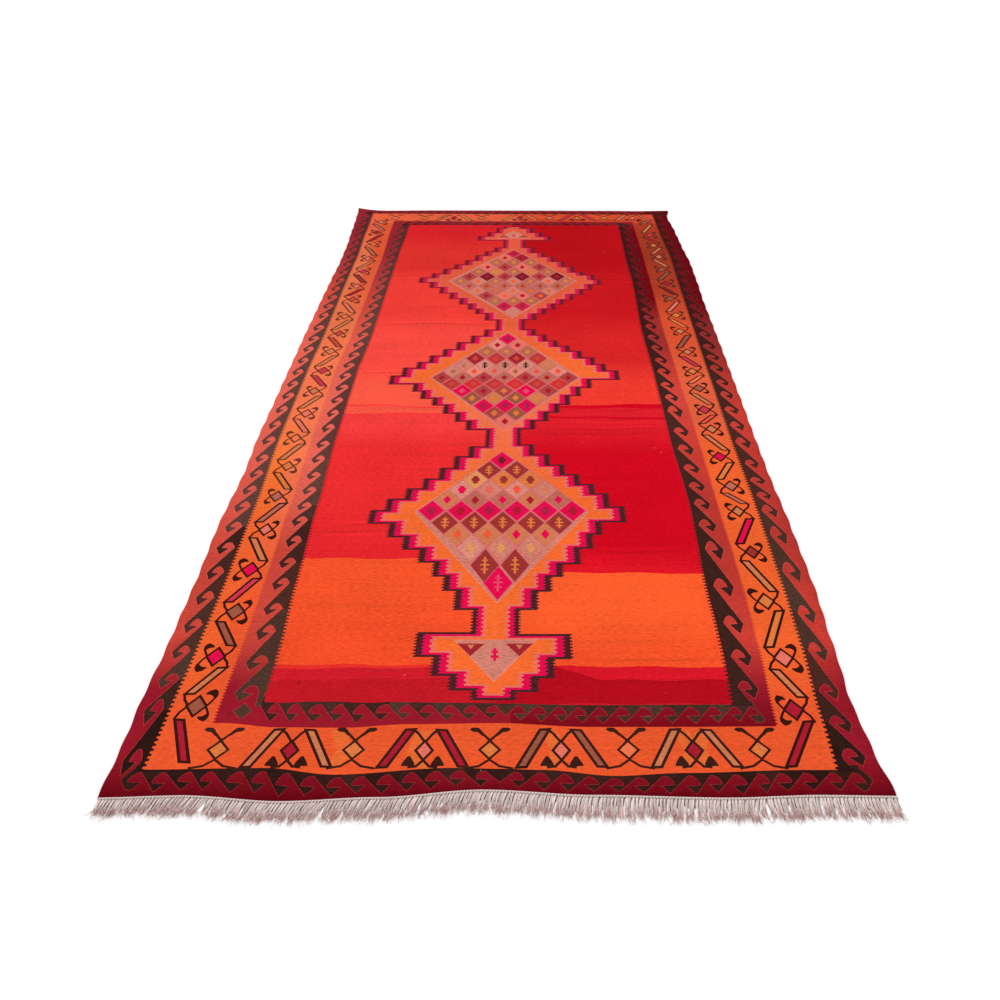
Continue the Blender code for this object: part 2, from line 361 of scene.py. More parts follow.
@dataclass(frozen=True)
class ClothForm:
    """Outline, border lines and ripples of the cloth, in its own plan.

    Attributes:
        width, length, thickness: the flat cloth's size.
        scallop, scallop_pitch: the selvedge's small waves.
        corner_lift, corner_reach: the curl of the far left corner.
    """
    width: float = 1.650
    length: float = 3.400
    thickness: float = 0.003
    scallop: float = 0.0015
    scallop_pitch: float = 0.094
    corner_lift: float = 0.014
    corner_reach: float = 0.150
    selvedges: Chart = Chart("station left right", (
        (-1.70, .005, .008), (-1.58, .002, -.006), (-1.46, .004, -.013), (-1.30, .000, -.004),
        (-1.08, .001, .006), (-0.84, .008, .006), (-0.60, .001, .001), (-0.40, .008, .002),
        (-0.15, .006, .005), (0.25, .005, .008), (0.60, .001, .009), (0.84, -.003, .015),
        (1.02, -.008, .017), (1.24, -.006, .007), (1.42, .002, .002), (1.62, .009, -.010),
        (1.70, .011, .006)))
    ends: Chart = Chart("station near far", (
        (-.83, .002, .017), (-.65, -.003, .016), (-.45, .010, .020), (-.25, .001, .019),
        (-.03, -.016, .018), (.20, -.004, .016), (.48, .002, .013), (.67, -.004, .009),
        (.83, -.002, .014)))
    ripples: Chart = Chart("x y half_length half_width height slope", (
        (.66, .86, .17, .075, .0035, .02), (-.33, .43, .22, .080, .0035, -.03),
        (-.47, .04, .28, .075, .0045, .0), (.45, -.22, .27, .075, .0045, .05),
        (-.45, -.21, .25, .080, .0040, -.06), (.42, -.37, .22, .070, .0040, .04),
        (-.56, -.83, .20, .075, .0045, -.04), (.55, -.94, .20, .080, .0040, .03),
        (.42, -1.22, .26, .070, .0050, .04), (.72, -1.52, .12, .080, .0030, .0)))
    sides: Chart = Chart("station left_outer left_inner left_field right_field right_inner right_outer", (
        (-1.70, -.760, -.644, -.541, .531, .622, .726), (-1.5, -.754, -.644, -.541, .535, .626, .730),
        (-1.3, -.748, -.641, -.545, .541, .636, .742), (-1.1, -.745, -.641, -.553, .540, .641, .747),
        (-.75, -.748, -.645, -.560, .550, .638, .749), (-.4, -.759, -.652, -.569, .540, .636, .745),
        (.0, -.758, -.655, -.568, .540, .630, .746), (.35, -.750, -.640, -.555, .534, .625, .748),
        (.8, -.749, -.631, -.551, .545, .628, .752), (1.1, -.745, -.625, -.547, .541, .629, .757),
        (1.4, -.751, -.629, -.539, .543, .625, .745), (1.7, -.753, -.629, -.539, .543, .625, .740)))
    near_outer: Chart = Chart("station y", (
        (-.75, -1.635), (-.5, -1.631), (-.35, -1.647), (-.1, -1.631), (0., -1.633), (.1, -1.636),
        (.25, -1.650), (.4, -1.643), (.65, -1.636), (.75, -1.636)))
    near_inner: Chart = Chart("station y", (
        (-.62, -1.519), (-.5, -1.530), (-.35, -1.531), (-.2, -1.522), (0., -1.519), (.2, -1.529),
        (.4, -1.529), (.62, -1.5275)))
    near_field: Chart = Chart("station y", (
        (-.54, -1.457), (-.4, -1.461), (0., -1.465), (.2, -1.471), (.53, -1.469)))
    far_outer: Chart = Chart("station y", ((-.75, 1.672), (.0, 1.664), (.75, 1.656)))
    far_inner: Chart = Chart("station y", ((-.63, 1.565), (.0, 1.557), (.63, 1.547)))
    far_field: Chart = Chart("station y", ((-.55, 1.508), (.0, 1.505), (.55, 1.500)))

    def selvedge(self, side: str, y: Points) -> Points:
        """X of a selvedge: half the width, the chart's offset and small waves.

        Args:
            side: left or right.
            y: places along the rug.

        Returns:
            X at each place.
        """
        wave = self.scallop * np.sin(2 * np.pi * y / self.scallop_pitch)
        out = self.width / 2 + self.selvedges.eased(side, y) + wave
        return -out if side == "left" else out

    def end(self, which: str, x: Points) -> Points:
        """Y of the near or far end: half the length and the chart's offset."""
        out = self.length / 2 + self.ends.eased(which, x)
        return -out if which == "near" else out

    def place(self, across: Points, along: Points) -> Points:
        """Plan points from shares of width and length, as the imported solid's grid has them.

        Args:
            across: share of the width, 0 at the left selvedge.
            along: share of the length, 0 at the near end.

        Returns:
            One row of x and y each: y blended between the ends, then x between the selvedges.
        """
        flat_x = (across - 0.5) * self.width
        y = self.end("near", flat_x) * (1 - along) + self.end("far", flat_x) * along
        x = self.selvedge("left", y) * (1 - across) + self.selvedge("right", y) * across
        return np.stack([x, y], -1)

    def lift(self, x: Points, y: Points) -> Points:
        """Height of the underside: smooth humps along each ripple's crest, and the curled corner.

        Args:
            x, y: places in the plan.

        Returns:
            The height at each place.
        """
        height = np.zeros_like(x)
        for row in self.ripples.records():
            off_crest = y - row["y"] - row["slope"] * (x - row["x"])
            hump = smooth_hump(x - row["x"], row["half_length"])
            height += row["height"] * hump * smooth_hump(off_crest, row["half_width"])
        corner_x = self.selvedge("left", np.array(self.length / 2))
        corner_y = self.end("far", np.array(-self.width / 2))
        away = np.hypot(x - corner_x, y - corner_y)
        return height + self.corner_lift * np.maximum(0.0, 1 - away / self.corner_reach) ** 2

    def shift(self) -> Points:
        """The move from the cloth's plan to the frame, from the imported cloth's own box.

        Returns:
            The move in x and y.
        """
        across, along = np.meshgrid(np.linspace(0, 1, 25), np.linspace(0, 1, 97))
        low = self.place(across.ravel(), along.ravel()).min(axis=0)
        return np.array(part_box("kilim_cloth")[0][:2]) - low

    def outline(self, spacing: float = 0.012) -> Points:
        """The cloth's edge.

        Args:
            spacing: step of its points.

        Returns:
            The edge, anticlockwise from the near left corner.
        """
        ends = np.linspace(0, 1, int(self.width / spacing))[:-1]
        sides = np.linspace(0, 1, int(self.length / spacing))[:-1]
        near, far = np.zeros_like(ends), np.ones_like(ends)
        left, right = np.zeros_like(sides), np.ones_like(sides)
        return np.concatenate([self.place(ends, near), self.place(right, sides),
                               self.place(1 - ends, far), self.place(left, 1 - sides)])

    def side_line(self, name: str, y: Points) -> Points:
        """X of a lengthwise join of the borders at the places y."""
        return self.sides.eased(name, y)


# --- Drawing on the loom --------------------------------------------------------------

def combed(path: Points, pitch: float, depth: float, duty: float = 0.5) -> Points:
    """A join with weft teeth: the path, set in and out by half the depth at every pitch.

    Args:
        path: corners of the join, in order.
        pitch: length of one tooth and one gap.
        depth: how far a tooth reaches over its gap.
        duty: share of the pitch that a tooth takes.

    Returns:
        Four points a tooth, each base point moved along the path's left normal.
    """
    steps = np.diff(path, axis=0)
    lengths = np.hypot(*steps.T)
    along = np.concatenate([[0], np.cumsum(lengths)])
    count = max(1, round(along[-1] / pitch))
    pitch = along[-1] / count
    offsets = np.array([0.02, 0.14, duty + 0.02, duty + 0.14]) * pitch
    stations = (np.arange(count)[:, None] * pitch + offsets).ravel()
    sides = np.tile([-0.5, 0.5, 0.5, -0.5], count) * depth
    points = np.stack([np.interp(stations, along, path[:, axis]) for axis in (0, 1)], -1)
    leg = np.clip(np.searchsorted(along, stations, "right") - 1, 0, len(steps) - 1)
    normals = np.stack([-steps[leg, 1], steps[leg, 0]], -1) / lengths[leg, None]
    return np.concatenate([path[:1], points + normals * sides[:, None], path[-1:]])


def swollen(points: Points, by: float) -> Points:
    """A closed shape grown outwards on all its edges, with blunted sharp corners.

    Args:
        points: its corners, anticlockwise.
        by: how far each edge moves out.

    Returns:
        The corners, each moved along the mitre of its two edges.
    """
    before, after = points - np.roll(points, 1, axis=0), np.roll(points, -1, axis=0) - points
    units = [leg / np.maximum(np.hypot(*leg.T), 1e-9)[:, None] for leg in (before, after)]
    normals = [np.stack([unit[:, 1], -unit[:, 0]], -1) for unit in units]
    mitre = normals[0] + normals[1]
    square = np.maximum((mitre ** 2).sum(axis=1, keepdims=True), 0.5)
    return points + mitre * 2 * by / square


def anticlockwise(points: Points) -> Points:
    """The same closed shape, without repeated points and turned anticlockwise.

    Args:
        points: its corners, in either direction.

    Returns:
        The corners, reversed where twice the shape's area came out negative.
    """
    points = points[np.hypot(*(points - np.roll(points, 1, axis=0)).T) > 2e-5]
    x, y = points.T
    area = np.sum(x * np.roll(y, -1) - y * np.roll(x, -1))
    return points if area > 0 else points[::-1]


def box_shape(low_x: float, low_y: float, high_x: float, high_y: float) -> Points:
    """The four corners of an upright box."""
    return np.array([(low_x, low_y), (high_x, low_y), (high_x, high_y), (low_x, high_y)])


def diamond(centre: Sequence[float], half_width: float, half_height: float) -> Points:
    """The four corners of a lozenge."""
    return np.asarray(centre) + np.array([(0, -half_height), (half_width, 0), (0, half_height),
                                          (-half_width, 0)])


@dataclass
class Board:
    """The drawn pattern: flat shapes in one dye each, where a later one covers an earlier one.

    Attributes:
        shapes: the shapes' corners, anticlockwise.
        dyes: each shape's number among the lots.
        lots: every lot of wool in use, with its number.
    """
    shapes: list[Points] = field(default_factory=list)
    dyes: list[int] = field(default_factory=list)
    lots: "dict[Yarn | Abrash, int]" = field(default_factory=dict)

    def lay(self, points: Points, dye: "Dye | Yarn | Abrash") -> None:
        """Add one closed shape.

        Args:
            points: its corners.
            dye: its wool.
        """
        points = anticlockwise(np.asarray(points, float))
        lot = dye.value if isinstance(dye, Dye) else dye
        if len(points) > 2:
            self.shapes.append(points)
            self.dyes.append(self.lots.setdefault(lot, len(self.lots)))

    def lay_outlined(self, points: Points, dye: "Dye | Yarn", edge: "Dye | Yarn", width: float) -> None:
        """Add a shape with a rim of another dye around its outside.

        Args:
            points: its corners.
            dye: its wool.
            edge: the rim's wool.
            width: the rim's width.
        """
        points = anticlockwise(np.asarray(points, float))
        self.lay(swollen(points, width), edge)
        self.lay(points, dye)

    def stroke(self, points: Points, width: float, dye: "Dye | Yarn") -> None:
        """Add a line of one width: one overlapping quad for each leg.

        Args:
            points: the corners of the line.
            width: how wide the line is.
            dye: the line's dye.
        """
        points = np.asarray(points, float)
        for start, end in zip(points, points[1:]):
            leg = end - start
            unit = leg / max(math.hypot(*leg), 1e-9) * width / 2
            side = np.array([-unit[1], unit[0]])
            start, end = start - unit * 0.7, end + unit * 0.7
            self.lay(np.array([start - side, end - side, end + side, start + side]), dye)


@dataclass(frozen=True)
class Side:
    """One long side of the borders, with places counted inwards from its lines.

    Attributes:
        form: the cloth's form.
        name: left or right.
    """
    form: ClothForm
    name: str

    @property
    def inward(self) -> float:
        """1 where inwards is towards +X, -1 where it is towards -X."""
        return 1.0 if self.name == "left" else -1.0

    def line(self, join: str, y: Points) -> Points:
        """X of this side's outer, inner or field join."""
        return self.form.side_line(f"{self.name}_{join}", y)

    def band(self, which: str, y: Points) -> tuple[Points, Points]:
        """X of a band's limits.

        Args:
            which: outer or inner.
            y: places along the rug.

        Returns:
            X of its outer and of its inner limit at each place.
        """
        if which == "outer":
            return self.form.selvedge(self.name, y), self.line("outer", y)
        return self.line("inner", y), self.line("field", y)


# --- Running hooks --------------------------------------------------------------------

@dataclass(frozen=True)
class SideHooks:
    """Running hooks up one long band: red heads on the outside, walnut ones on the inside.

    Attributes:
        side: the side of the rug.
        band: outer or inner.
        tips: places of the walnut tips along the rug, from the near end.
        tip, head: shares of the band's width at the walnut tips and at the red heads.
        pitch: step of the hooks beyond the last of the tips.
        last: where the hooks stop.
        walnut, outline: lots of the dark wool and of its thin outline.
        edging: width of the outline.
        wobble: how far hooks differ in size, as a share.
        under: how far the walnut runs under the band inside it.
        drawn_width, drawn_pitch: the width and pitch at which the shape is drawn, in millimetres.
        shape: the join from one walnut tip to the next, in millimetres inwards and along.
    """
    side: Side
    band: str
    tips: tuple[float, ...]
    tip: float
    head: float
    pitch: float
    last: float
    walnut: Abrash
    outline: Abrash
    edging: float = 0.0013
    wobble: float = 0.06
    under: float = 0.012
    drawn_width: float = 49.5
    drawn_pitch: float = 86.0
    shape: Chart = Chart("inward along", (
        (0.4, 1.0), (0.8, -2.5), (13.2, -25.3), (34.8, -2.8), (14.7, -0.8), (18.5, 10.0), (25.0, 18.5),
        (32.0, 21.4), (39.5, 17.5), (45.0, 9.5), (49.5, 1.1)))

    def stations(self) -> Points:
        """Every walnut tip, the counted ones first and then the evenly spaced ones."""
        extra = np.arange(self.tips[-1] + self.pitch, self.last, self.pitch)
        return np.concatenate([self.tips, extra])

    def joins(self, dice: np.random.Generator) -> list[Points]:
        """The join at each hook, drawn to fit its pitch and the band's width there.

        Args:
            dice: the source of chance.

        Returns:
            Each join, from its walnut tip to its red head.
        """
        tips = self.stations()
        steps = np.diff(tips, prepend=2 * tips[0] - tips[1])
        inward, along = self.shape.column("inward"), self.shape.column("along")
        joins = []
        for tip, step in zip(tips, steps):
            wobble = 1 + dice.uniform(-self.wobble, self.wobble, 2)
            y = tip + along * step / self.drawn_pitch * wobble[0]
            low, high = self.side.band(self.band, y)
            share = self.tip + (self.head - self.tip) * inward / self.drawn_width * wobble[1]
            joins.append(np.stack([low + (high - low) * share, y], -1))
        return joins

    def draw(self, board: Board, dice: np.random.Generator) -> None:
        """Lay the walnut side of every hook, with a thin pink outline on the red side.

        Args:
            board: the pattern.
            dice: the source of chance.
        """
        joins = self.joins(dice)
        beyond_last, overrun = 0.085, 0.022
        shapes = []
        for join, above in zip(joins, joins[1:] + [None]):
            start = above[-1] if above is not None else join[0] + (join[-1] - join[0]) + [0, beyond_last]
            corners = np.concatenate([[start], join])
            ends = corners[[-1, 0], 1]
            beyond = self.side.band(self.band, ends)[1] + self.side.inward * self.under
            corners = np.concatenate([corners, np.stack([beyond, ends], -1)])
            corners[:, 1] = np.minimum(corners[:, 1], self.last + overrun)
            shapes.append(anticlockwise(corners))
        for shape in shapes:
            board.lay(swollen(shape, self.edging), self.outline.at(shape[:, 1].mean()))
        for shape in shapes:
            board.lay(shape, self.walnut.at(shape[:, 1].mean(), dice))


def between(first: Dye, second: Dye, dice: np.random.Generator) -> Yarn:
    """A lot carded from two dyes, in a share drawn by chance."""
    return first.value.carded(second.value, round(dice.uniform(0, 1), 1))


@dataclass(frozen=True)
class EndHooks:
    """Running hooks across one end band, leaning away from the middle.

    Attributes:
        form: the cloth's form.
        end: near or far.
        band: outer or inner.
        turn: place across at which the lean turns over.
        left, right: places of the red crests on each side, from the middle outwards.
        walnut, outline: dyes of the dark wool and of its thin outline.
        corners: how far the last hook on the left and on the right stands beyond its crest, where
            the band turns round a corner.
        edging: width of the outline.
        wobble: how far hooks differ in size, as a share.
        top: share of the band between its inner limit and the crests.
        middle: height of the hook that leans both ways, as a share of the room for hooks.
        reach: how far a hook's walnut reaches back, as a share of the pitch.
        under: how far the walnut runs under the band inside it.
        drawn_pitch, drawn_height: the pitch in metres and the height in millimetres of the shape.
        crest_row: number of the shape's corner that is its crest.
        shape: a hook's join, in millimetres outwards from its crest and along.
    """
    form: ClothForm
    end: str
    band: str
    turn: float
    left: tuple[float, ...]
    right: tuple[float, ...]
    walnut: tuple[Dye, Dye]
    outline: Dye
    corners: tuple[Chart | None, Chart | None] = (None, None)
    edging: float = 0.0011
    wobble: float = 0.08
    top: float = 0.10
    middle: float = 0.62
    reach: float = 0.98
    under: float = 0.012
    drawn_pitch: float = 0.049
    drawn_height: float = 44.0
    crest_row: int = 7
    shape: Chart = Chart("across along", (
        (-9.3, -44.0), (-4.0, -38.0), (6.0, -25.4), (-19.0, -24.4), (-21.5, -21.0), (-17.0, -10.0),
        (-8.5, -1.8), (0.0, 0.0), (4.5, -2.0)))

    @property
    def foot(self) -> float:
        """Share of the band between its outer limit and the hooks' feet."""
        return 0.2025 if self.band == "outer" else 0.1755

    def limits(self, x: Points) -> tuple[Points, Points]:
        """The band's limits.

        Args:
            x: places across the rug.

        Returns:
            Y of its outer and of its inner limit at each place.
        """
        form = self.form
        if self.band == "outer":
            inner = form.near_outer if self.end == "near" else form.far_outer
            return form.end(self.end, x), inner.eased("y", x)
        outer, inner = ((form.near_inner, form.near_field) if self.end == "near"
                        else (form.far_inner, form.far_field))
        return outer.eased("y", x), inner.eased("y", x)

    def hooks(self, lean: float, crests: Sequence[float], corner: Chart | None,
              dice: np.random.Generator) -> list[Points]:
        """The walnut hooks on one side of the turn.

        Args:
            lean: 1 on the left side and -1 on the right one.
            crests: places of the red crests, from the middle outwards.
            corner: how the last hook stands beyond its crest, or None.
            dice: the source of chance.

        Returns:
            The shape of each hook.
        """
        across, along = self.shape.column("across") * MM, self.shape.column("along") / self.drawn_height
        room, row = 1 - self.top - self.foot, self.crest_row
        shapes = []
        for number, crest in enumerate(crests):
            last = number == len(crests) - 1
            pitch = abs(crests[number + (-1 if last else 1)] - crest)
            width, height = 1 + dice.uniform(-self.wobble, self.wobble, 2)
            x = crest + lean * across * pitch / self.drawn_pitch * width
            outer, inner = self.limits(x)
            y = inner + (inner - outer) * (along * height * room - self.top)
            if last and corner:
                out, up = corner.column("out"), corner.column("along")
                inwards = np.sign(inner[row] - outer[row])
                start = np.stack([crest - lean * out, inner[row] + up * inwards], -1)
            else:
                start_x = np.array([crest - lean * pitch * self.reach])
                start_outer, start_inner = self.limits(start_x)
                start = np.stack([start_x, start_inner - self.top * (start_inner - start_outer)], -1)
            back = np.array([x[-1], start[0, 0]])
            beyond = self.limits(back)[1] + np.sign(inner[0] - outer[0]) * self.under
            shapes.append(anticlockwise(
                np.concatenate([start, np.stack([x, y], -1), np.stack([back, beyond], -1)])))
        return shapes

    def draw(self, board: Board, dice: np.random.Generator) -> None:
        """Lay the walnut side of every hook, with a thin pink outline on the red side.

        Args:
            board: the pattern.
            dice: the source of chance.
        """
        shapes = (self.hooks(1.0, self.left, self.corners[0], dice)
                  + self.hooks(-1.0, self.right, self.corners[1], dice))
        x = np.array([self.left[0], self.turn, self.right[0], self.right[0], self.left[0]])
        outer, inner = self.limits(x)
        peak, below = self.top + self.middle * (1 - self.foot), -0.25
        level = np.array([self.top, peak, self.top, below, below])
        shapes.append(anticlockwise(np.stack([x, inner + (outer - inner) * level], -1)))
        for shape in shapes:
            board.lay(swollen(shape, self.edging), self.outline)
        for shape in shapes:
            board.lay(shape, between(*self.walnut, dice))


# --- Bars and lozenges of the orange border --------------------------------------------

@dataclass(frozen=True)
class Ornament:
    """The bars, lozenges, antennae and hooks of the orange border, drawn with walnut outlines.

    Attributes:
        outline: width of the walnut outlines.
        arm: width of the thin arms.
        free_arm: width of a free hook's arm, as a share of the others'.
        slope: rise of a bar's level ends, as a share of half its width.
        shaft: the arm of a free hook, in metres out and along.
        curl: the filled hook at the end of a free arm, in millimetres out and along.
    """
    outline: float = 0.0078
    arm: float = 0.0062
    free_arm: float = 0.9
    slope: float = 0.12
    shaft: tuple[tuple[float, float], ...] = ((-0.004, 0.0), (0.029, 0.009), (0.0370, 0.024))
    curl: Chart = Chart("out along", (
        (34.5, 20.0), (40.0, 24.0), (41.5, 33.0), (38.0, 41.0), (31.0, 47.0), (19.0, 42.0), (11.0, 33.5),
        (15.0, 31.0), (22.0, 31.0), (28.5, 28.0), (32.0, 24.0)))

    def bar(self, board: Board, low: Points, high: Points, width: float, fill: Dye, line: Yarn) -> None:
        """A slanted bar with level ends, filled with one dye.

        Args:
            board: the pattern.
            low, high: middles of the bar's near and far ends.
            width: the bar's width, measured across the rug.
            fill: the dye inside.
            line: the lot of the outline.
        """
        lean = np.sign(high[0] - low[0])
        half = width / 2
        side, slope = np.array([half, 0]), np.array([0, self.slope * half * lean])
        board.lay(np.array([low - side - slope, low + side, high + side + slope, high - side]), line)
        run = (high - low) / np.hypot(*(high - low))
        side, slope = side * (1 - self.outline / half), slope * 0.5
        cap = run * self.outline * 0.95
        board.lay(np.array([low - side - slope + cap, low + side + cap, high + side + slope - cap,
                            high - side - cap]), fill)

    def lozenge(self, board: Board, centre: Points, half: Sequence[float], fill: Dye, line: Yarn) -> None:
        """A filled lozenge with an outline inside its half width and half height.

        Args:
            board: the pattern.
            centre: its middle.
            half: half its width and half its height.
            fill: the dye inside.
            line: the lot of the outline.
        """
        board.lay(diamond(centre, *half), line)
        share = 1 - self.outline * 0.98 / min(half)
        board.lay(diamond(centre, half[0] * share, half[1] * share), fill)

    def hook(self, board: Board, centre: Points, out: float, up: float, start: float, line: Yarn) -> None:
        """A free arm that leaves a lozenge, and curls back over it in a filled hook.

        Args:
            board: the pattern.
            centre: the lozenge's middle.
            out: 1 or -1 for the way across, times the hook's size.
            up: 1 or -1 for the way along, times the hook's size.
            start: how far from the middle the arm starts.
            line: the lot of the arm.
        """
        size, path = np.array([out, up]), np.array(self.shaft)
        path[0, 0] += start
        board.stroke(centre + path * size, self.arm * self.free_arm, line)
        board.lay(centre + self.curl.corners() * size, line)


@dataclass(frozen=True)
class SideOrnament:
    """The zigzag of bars and lozenges up one long orange border.

    Attributes:
        side: the side of the rug.
        rows: station of each lozenge, its dye, the side of its free hooks (out or in), and the
            dye of the bar beyond it.
        line: lots of the outlines along the rug.
        low, high: how far from the outer join the zigzag starts and ends.
        half_width, half_height: half the size of a lozenge.
        near_size: how much larger the motifs are below near_limit.
        bar_width: width of a bar, measured across the rug.
        bar_in, bar_up: gap between a bar's ends and the zigzag's limits, and the lozenges' middles.
        tied_in: gap between the tied arms' ends and the zigzag's limit.
        knee_in, knee_up, hand_up: corner and end of a tied arm.
        ornament: how the motifs are drawn.
    """
    side: Side
    rows: Chart
    line: Abrash
    low: float = 0.015
    high: float = 0.095
    half_width: float = 0.0232
    half_height: float = 0.0290
    near_size: float = 1.12
    near_limit: float = -1.0
    bar_width: float = 0.0306
    bar_in: float = 0.0125
    bar_up: float = 0.031
    tied_in: float = 0.003
    knee_in: float = 0.031
    knee_up: float = 0.017
    hand_up: float = 0.034
    ornament: Ornament = Ornament()

    def spot(self, inward: float, y: float) -> Points:
        """A plan point from its distance inwards from the outer join."""
        return np.array([float(self.side.line("outer", y)) + self.side.inward * inward, y])

    def draw(self, board: Board, dice: np.random.Generator) -> None:
        """Lay every lozenge with its arms, and the bar between each two.

        Args:
            board: the pattern.
            dice: the source of chance.
        """
        rows = self.rows.records()
        middle = (self.low + self.high) / 2
        for row, after in zip(rows, rows[1:] + [None]):
            y = row["station"]
            line = self.line.at(y, dice)
            free = 1.0 if row["hooks"] == "in" else -1.0
            big = self.near_size if y < self.near_limit else 1.0
            half = (self.half_width * big + dice.uniform(-0.0015, 0.0015), self.half_height * big)
            centre = self.spot(middle + free * 0.002, y)
            tied_x = self.low + self.tied_in if free > 0 else self.high - self.tied_in
            out = self.side.inward * free
            for way in (1.0, -1.0):
                knee = self.spot(middle - free * self.knee_in, y + way * self.knee_up)
                hand = self.spot(tied_x, y + way * self.hand_up)
                board.stroke([centre - [out * half[0] * 0.7, 0], knee, hand], self.ornament.arm, line)
                size = big * dice.uniform(0.78, 0.92)
                self.ornament.hook(board, centre, out * size, way * size, half[0], line)
            self.ornament.lozenge(board, centre, half, row["fill"], line)
            if after:
                low, high = self.low + self.bar_in, self.high - self.bar_in
                low, high = (low, high) if free > 0 else (high, low)
                start = self.spot(low, y + self.bar_up)
                stop = self.spot(high, y + (after["station"] - y) - self.bar_up)
                self.ornament.bar(board, start, stop, self.bar_width, row["bar"], line)


@dataclass(frozen=True)
class EndOrnament:
    """The lozenges, antennae and leaning bars across one orange end band.

    Attributes:
        crosses: place, and dye, of the lozenges with antennae.
        tents: place, dye of the lozenge, and dyes of the two bars around it.
        low, high: y of the motifs' near and far limits.
        ornament: how the motifs are drawn.
        lots: two dyes between which the outlines vary.
        drawn_height: the band's height at which the motifs are drawn.
        cross_level, tent_level: middles of the lozenges, as shares of the height.
        cross_half, tent_half: half their width and half their height.
        bar_width: width of a tent's bars, measured across the rug.
        bar_foot, bar_head: places of a bar's ends beside the lozenge's middle.
        ear, foot: the filled end of an antenna and of a tent's lower arm, in millimetres.
    """
    crosses: Chart
    tents: Chart
    low: float
    high: float
    ornament: Ornament
    lots: tuple[Dye, Dye]
    drawn_height: float = 0.112
    cross_level: float = 0.455
    tent_level: float = 0.44
    cross_half: tuple[float, float] = (0.0262, 0.0285)
    tent_half: tuple[float, float] = (0.0225, 0.0310)
    bar_width: float = 0.0290
    bar_foot: float = 0.089
    bar_head: float = 0.033
    ear: Chart = Chart("out along", (
        (11.0, 19.0), (16.0, 26.0), (21.0, 34.0), (27.0, 40.0), (41.0, 40.5), (46.0, 35.0), (39.0, 29.0),
        (28.0, 27.5), (18.0, 17.5)))
    foot: Chart = Chart("out along", (
        (-15.0, -3.0), (15.0, -1.0), (13.0, 6.0), (2.0, 25.0), (-4.0, 24.0), (-14.0, 6.0)))

    def cross(self, board: Board, centre: Points, scale: float, fill: Dye, line: Yarn) -> None:
        """A lozenge with two antennae above and two arms below.

        Args:
            board: the pattern.
            centre: the lozenge's middle.
            scale: the motif's height against the drawn one.
            fill: the lozenge's dye.
            line: the lot of the outlines.
        """
        arm = self.ornament.arm
        for way in (1.0, -1.0):
            top, bottom = centre + [0, 0.024 * scale], centre - [0, 0.026 * scale]
            board.stroke([top - [way * 0.004, 0.003], centre + [way * 0.017, 0.044 * scale]], arm, line)
            board.lay(centre + [0, 0.021 * scale] + self.ear.corners() * [way, scale], line)
            leg = centre + [way * 0.022, -0.043 * scale]
            board.stroke([bottom, leg, leg + [way * 0.028, -0.006 * scale]], arm * 0.9, line)
        half_width, half_height = self.cross_half
        self.ornament.lozenge(board, centre, (half_width, half_height * scale), fill, line)

    def tent(self, board: Board, centre: Points, scale: float, row: dict, line: Yarn) -> None:
        """A lozenge between two leaning bars, with an arm to each and two feet.

        Args:
            board: the pattern.
            centre: the lozenge's middle.
            scale: the motif's height against the drawn one.
            row: the dyes of the lozenge and of the left and right bar.
            line: the lot of the outlines.
        """
        arm, x = self.ornament.arm, centre[0]
        for way, fill in ((-1.0, row["left"]), (1.0, row["right"])):
            low = np.array([x + way * self.bar_foot, self.low + 0.002])
            high = np.array([x + way * self.bar_head, self.high - 0.002])
            board.stroke([centre + [0, 0.022 * scale], centre + [way * 0.016, 0.046 * scale],
                          high + [-way * 0.006, -0.004 * scale]], arm, line)
            knee = centre + np.array([way * 0.014, -0.042 * scale])
            board.stroke([centre - [0, 0.026 * scale], knee, knee + [way * 0.016, -0.002]], arm, line)
            board.lay(knee + [way * 0.018, 0.002] + self.foot.corners() * [way, scale], line)
            self.ornament.bar(board, low, high, self.bar_width, fill, line)
        half_width, half_height = self.tent_half
        self.ornament.lozenge(board, centre, (half_width, half_height * scale), row["fill"], line)

    def draw(self, board: Board, dice: np.random.Generator) -> None:
        """Lay the crosses, then the tents with their bars and feet.

        Args:
            board: the pattern.
            dice: the source of chance.
        """
        height = self.high - self.low
        scale = height / self.drawn_height
        for row in self.crosses.records():
            centre = np.array([row["x"], self.low + height * self.cross_level])
            self.cross(board, centre, scale, row["fill"], between(*self.lots, dice))
        for row in self.tents.records():
            centre = np.array([row["x"], self.low + height * self.tent_level])
            self.tent(board, centre, scale, row, between(*self.lots, dice))


# --- The stepped medallions -----------------------------------------------------------

@dataclass(frozen=True)
class Layer:
    """One outline of the stepped spine.

    Attributes:
        dye: the lots of wool inside it.
        across: how far it is set in from the spine's edge across the rug.
        along: how far it is set in along the rug.
        pitch, depth: teeth of its lengthwise joins.
    """
    dye: Abrash
    across: float
    along: float
    pitch: float
    depth: float


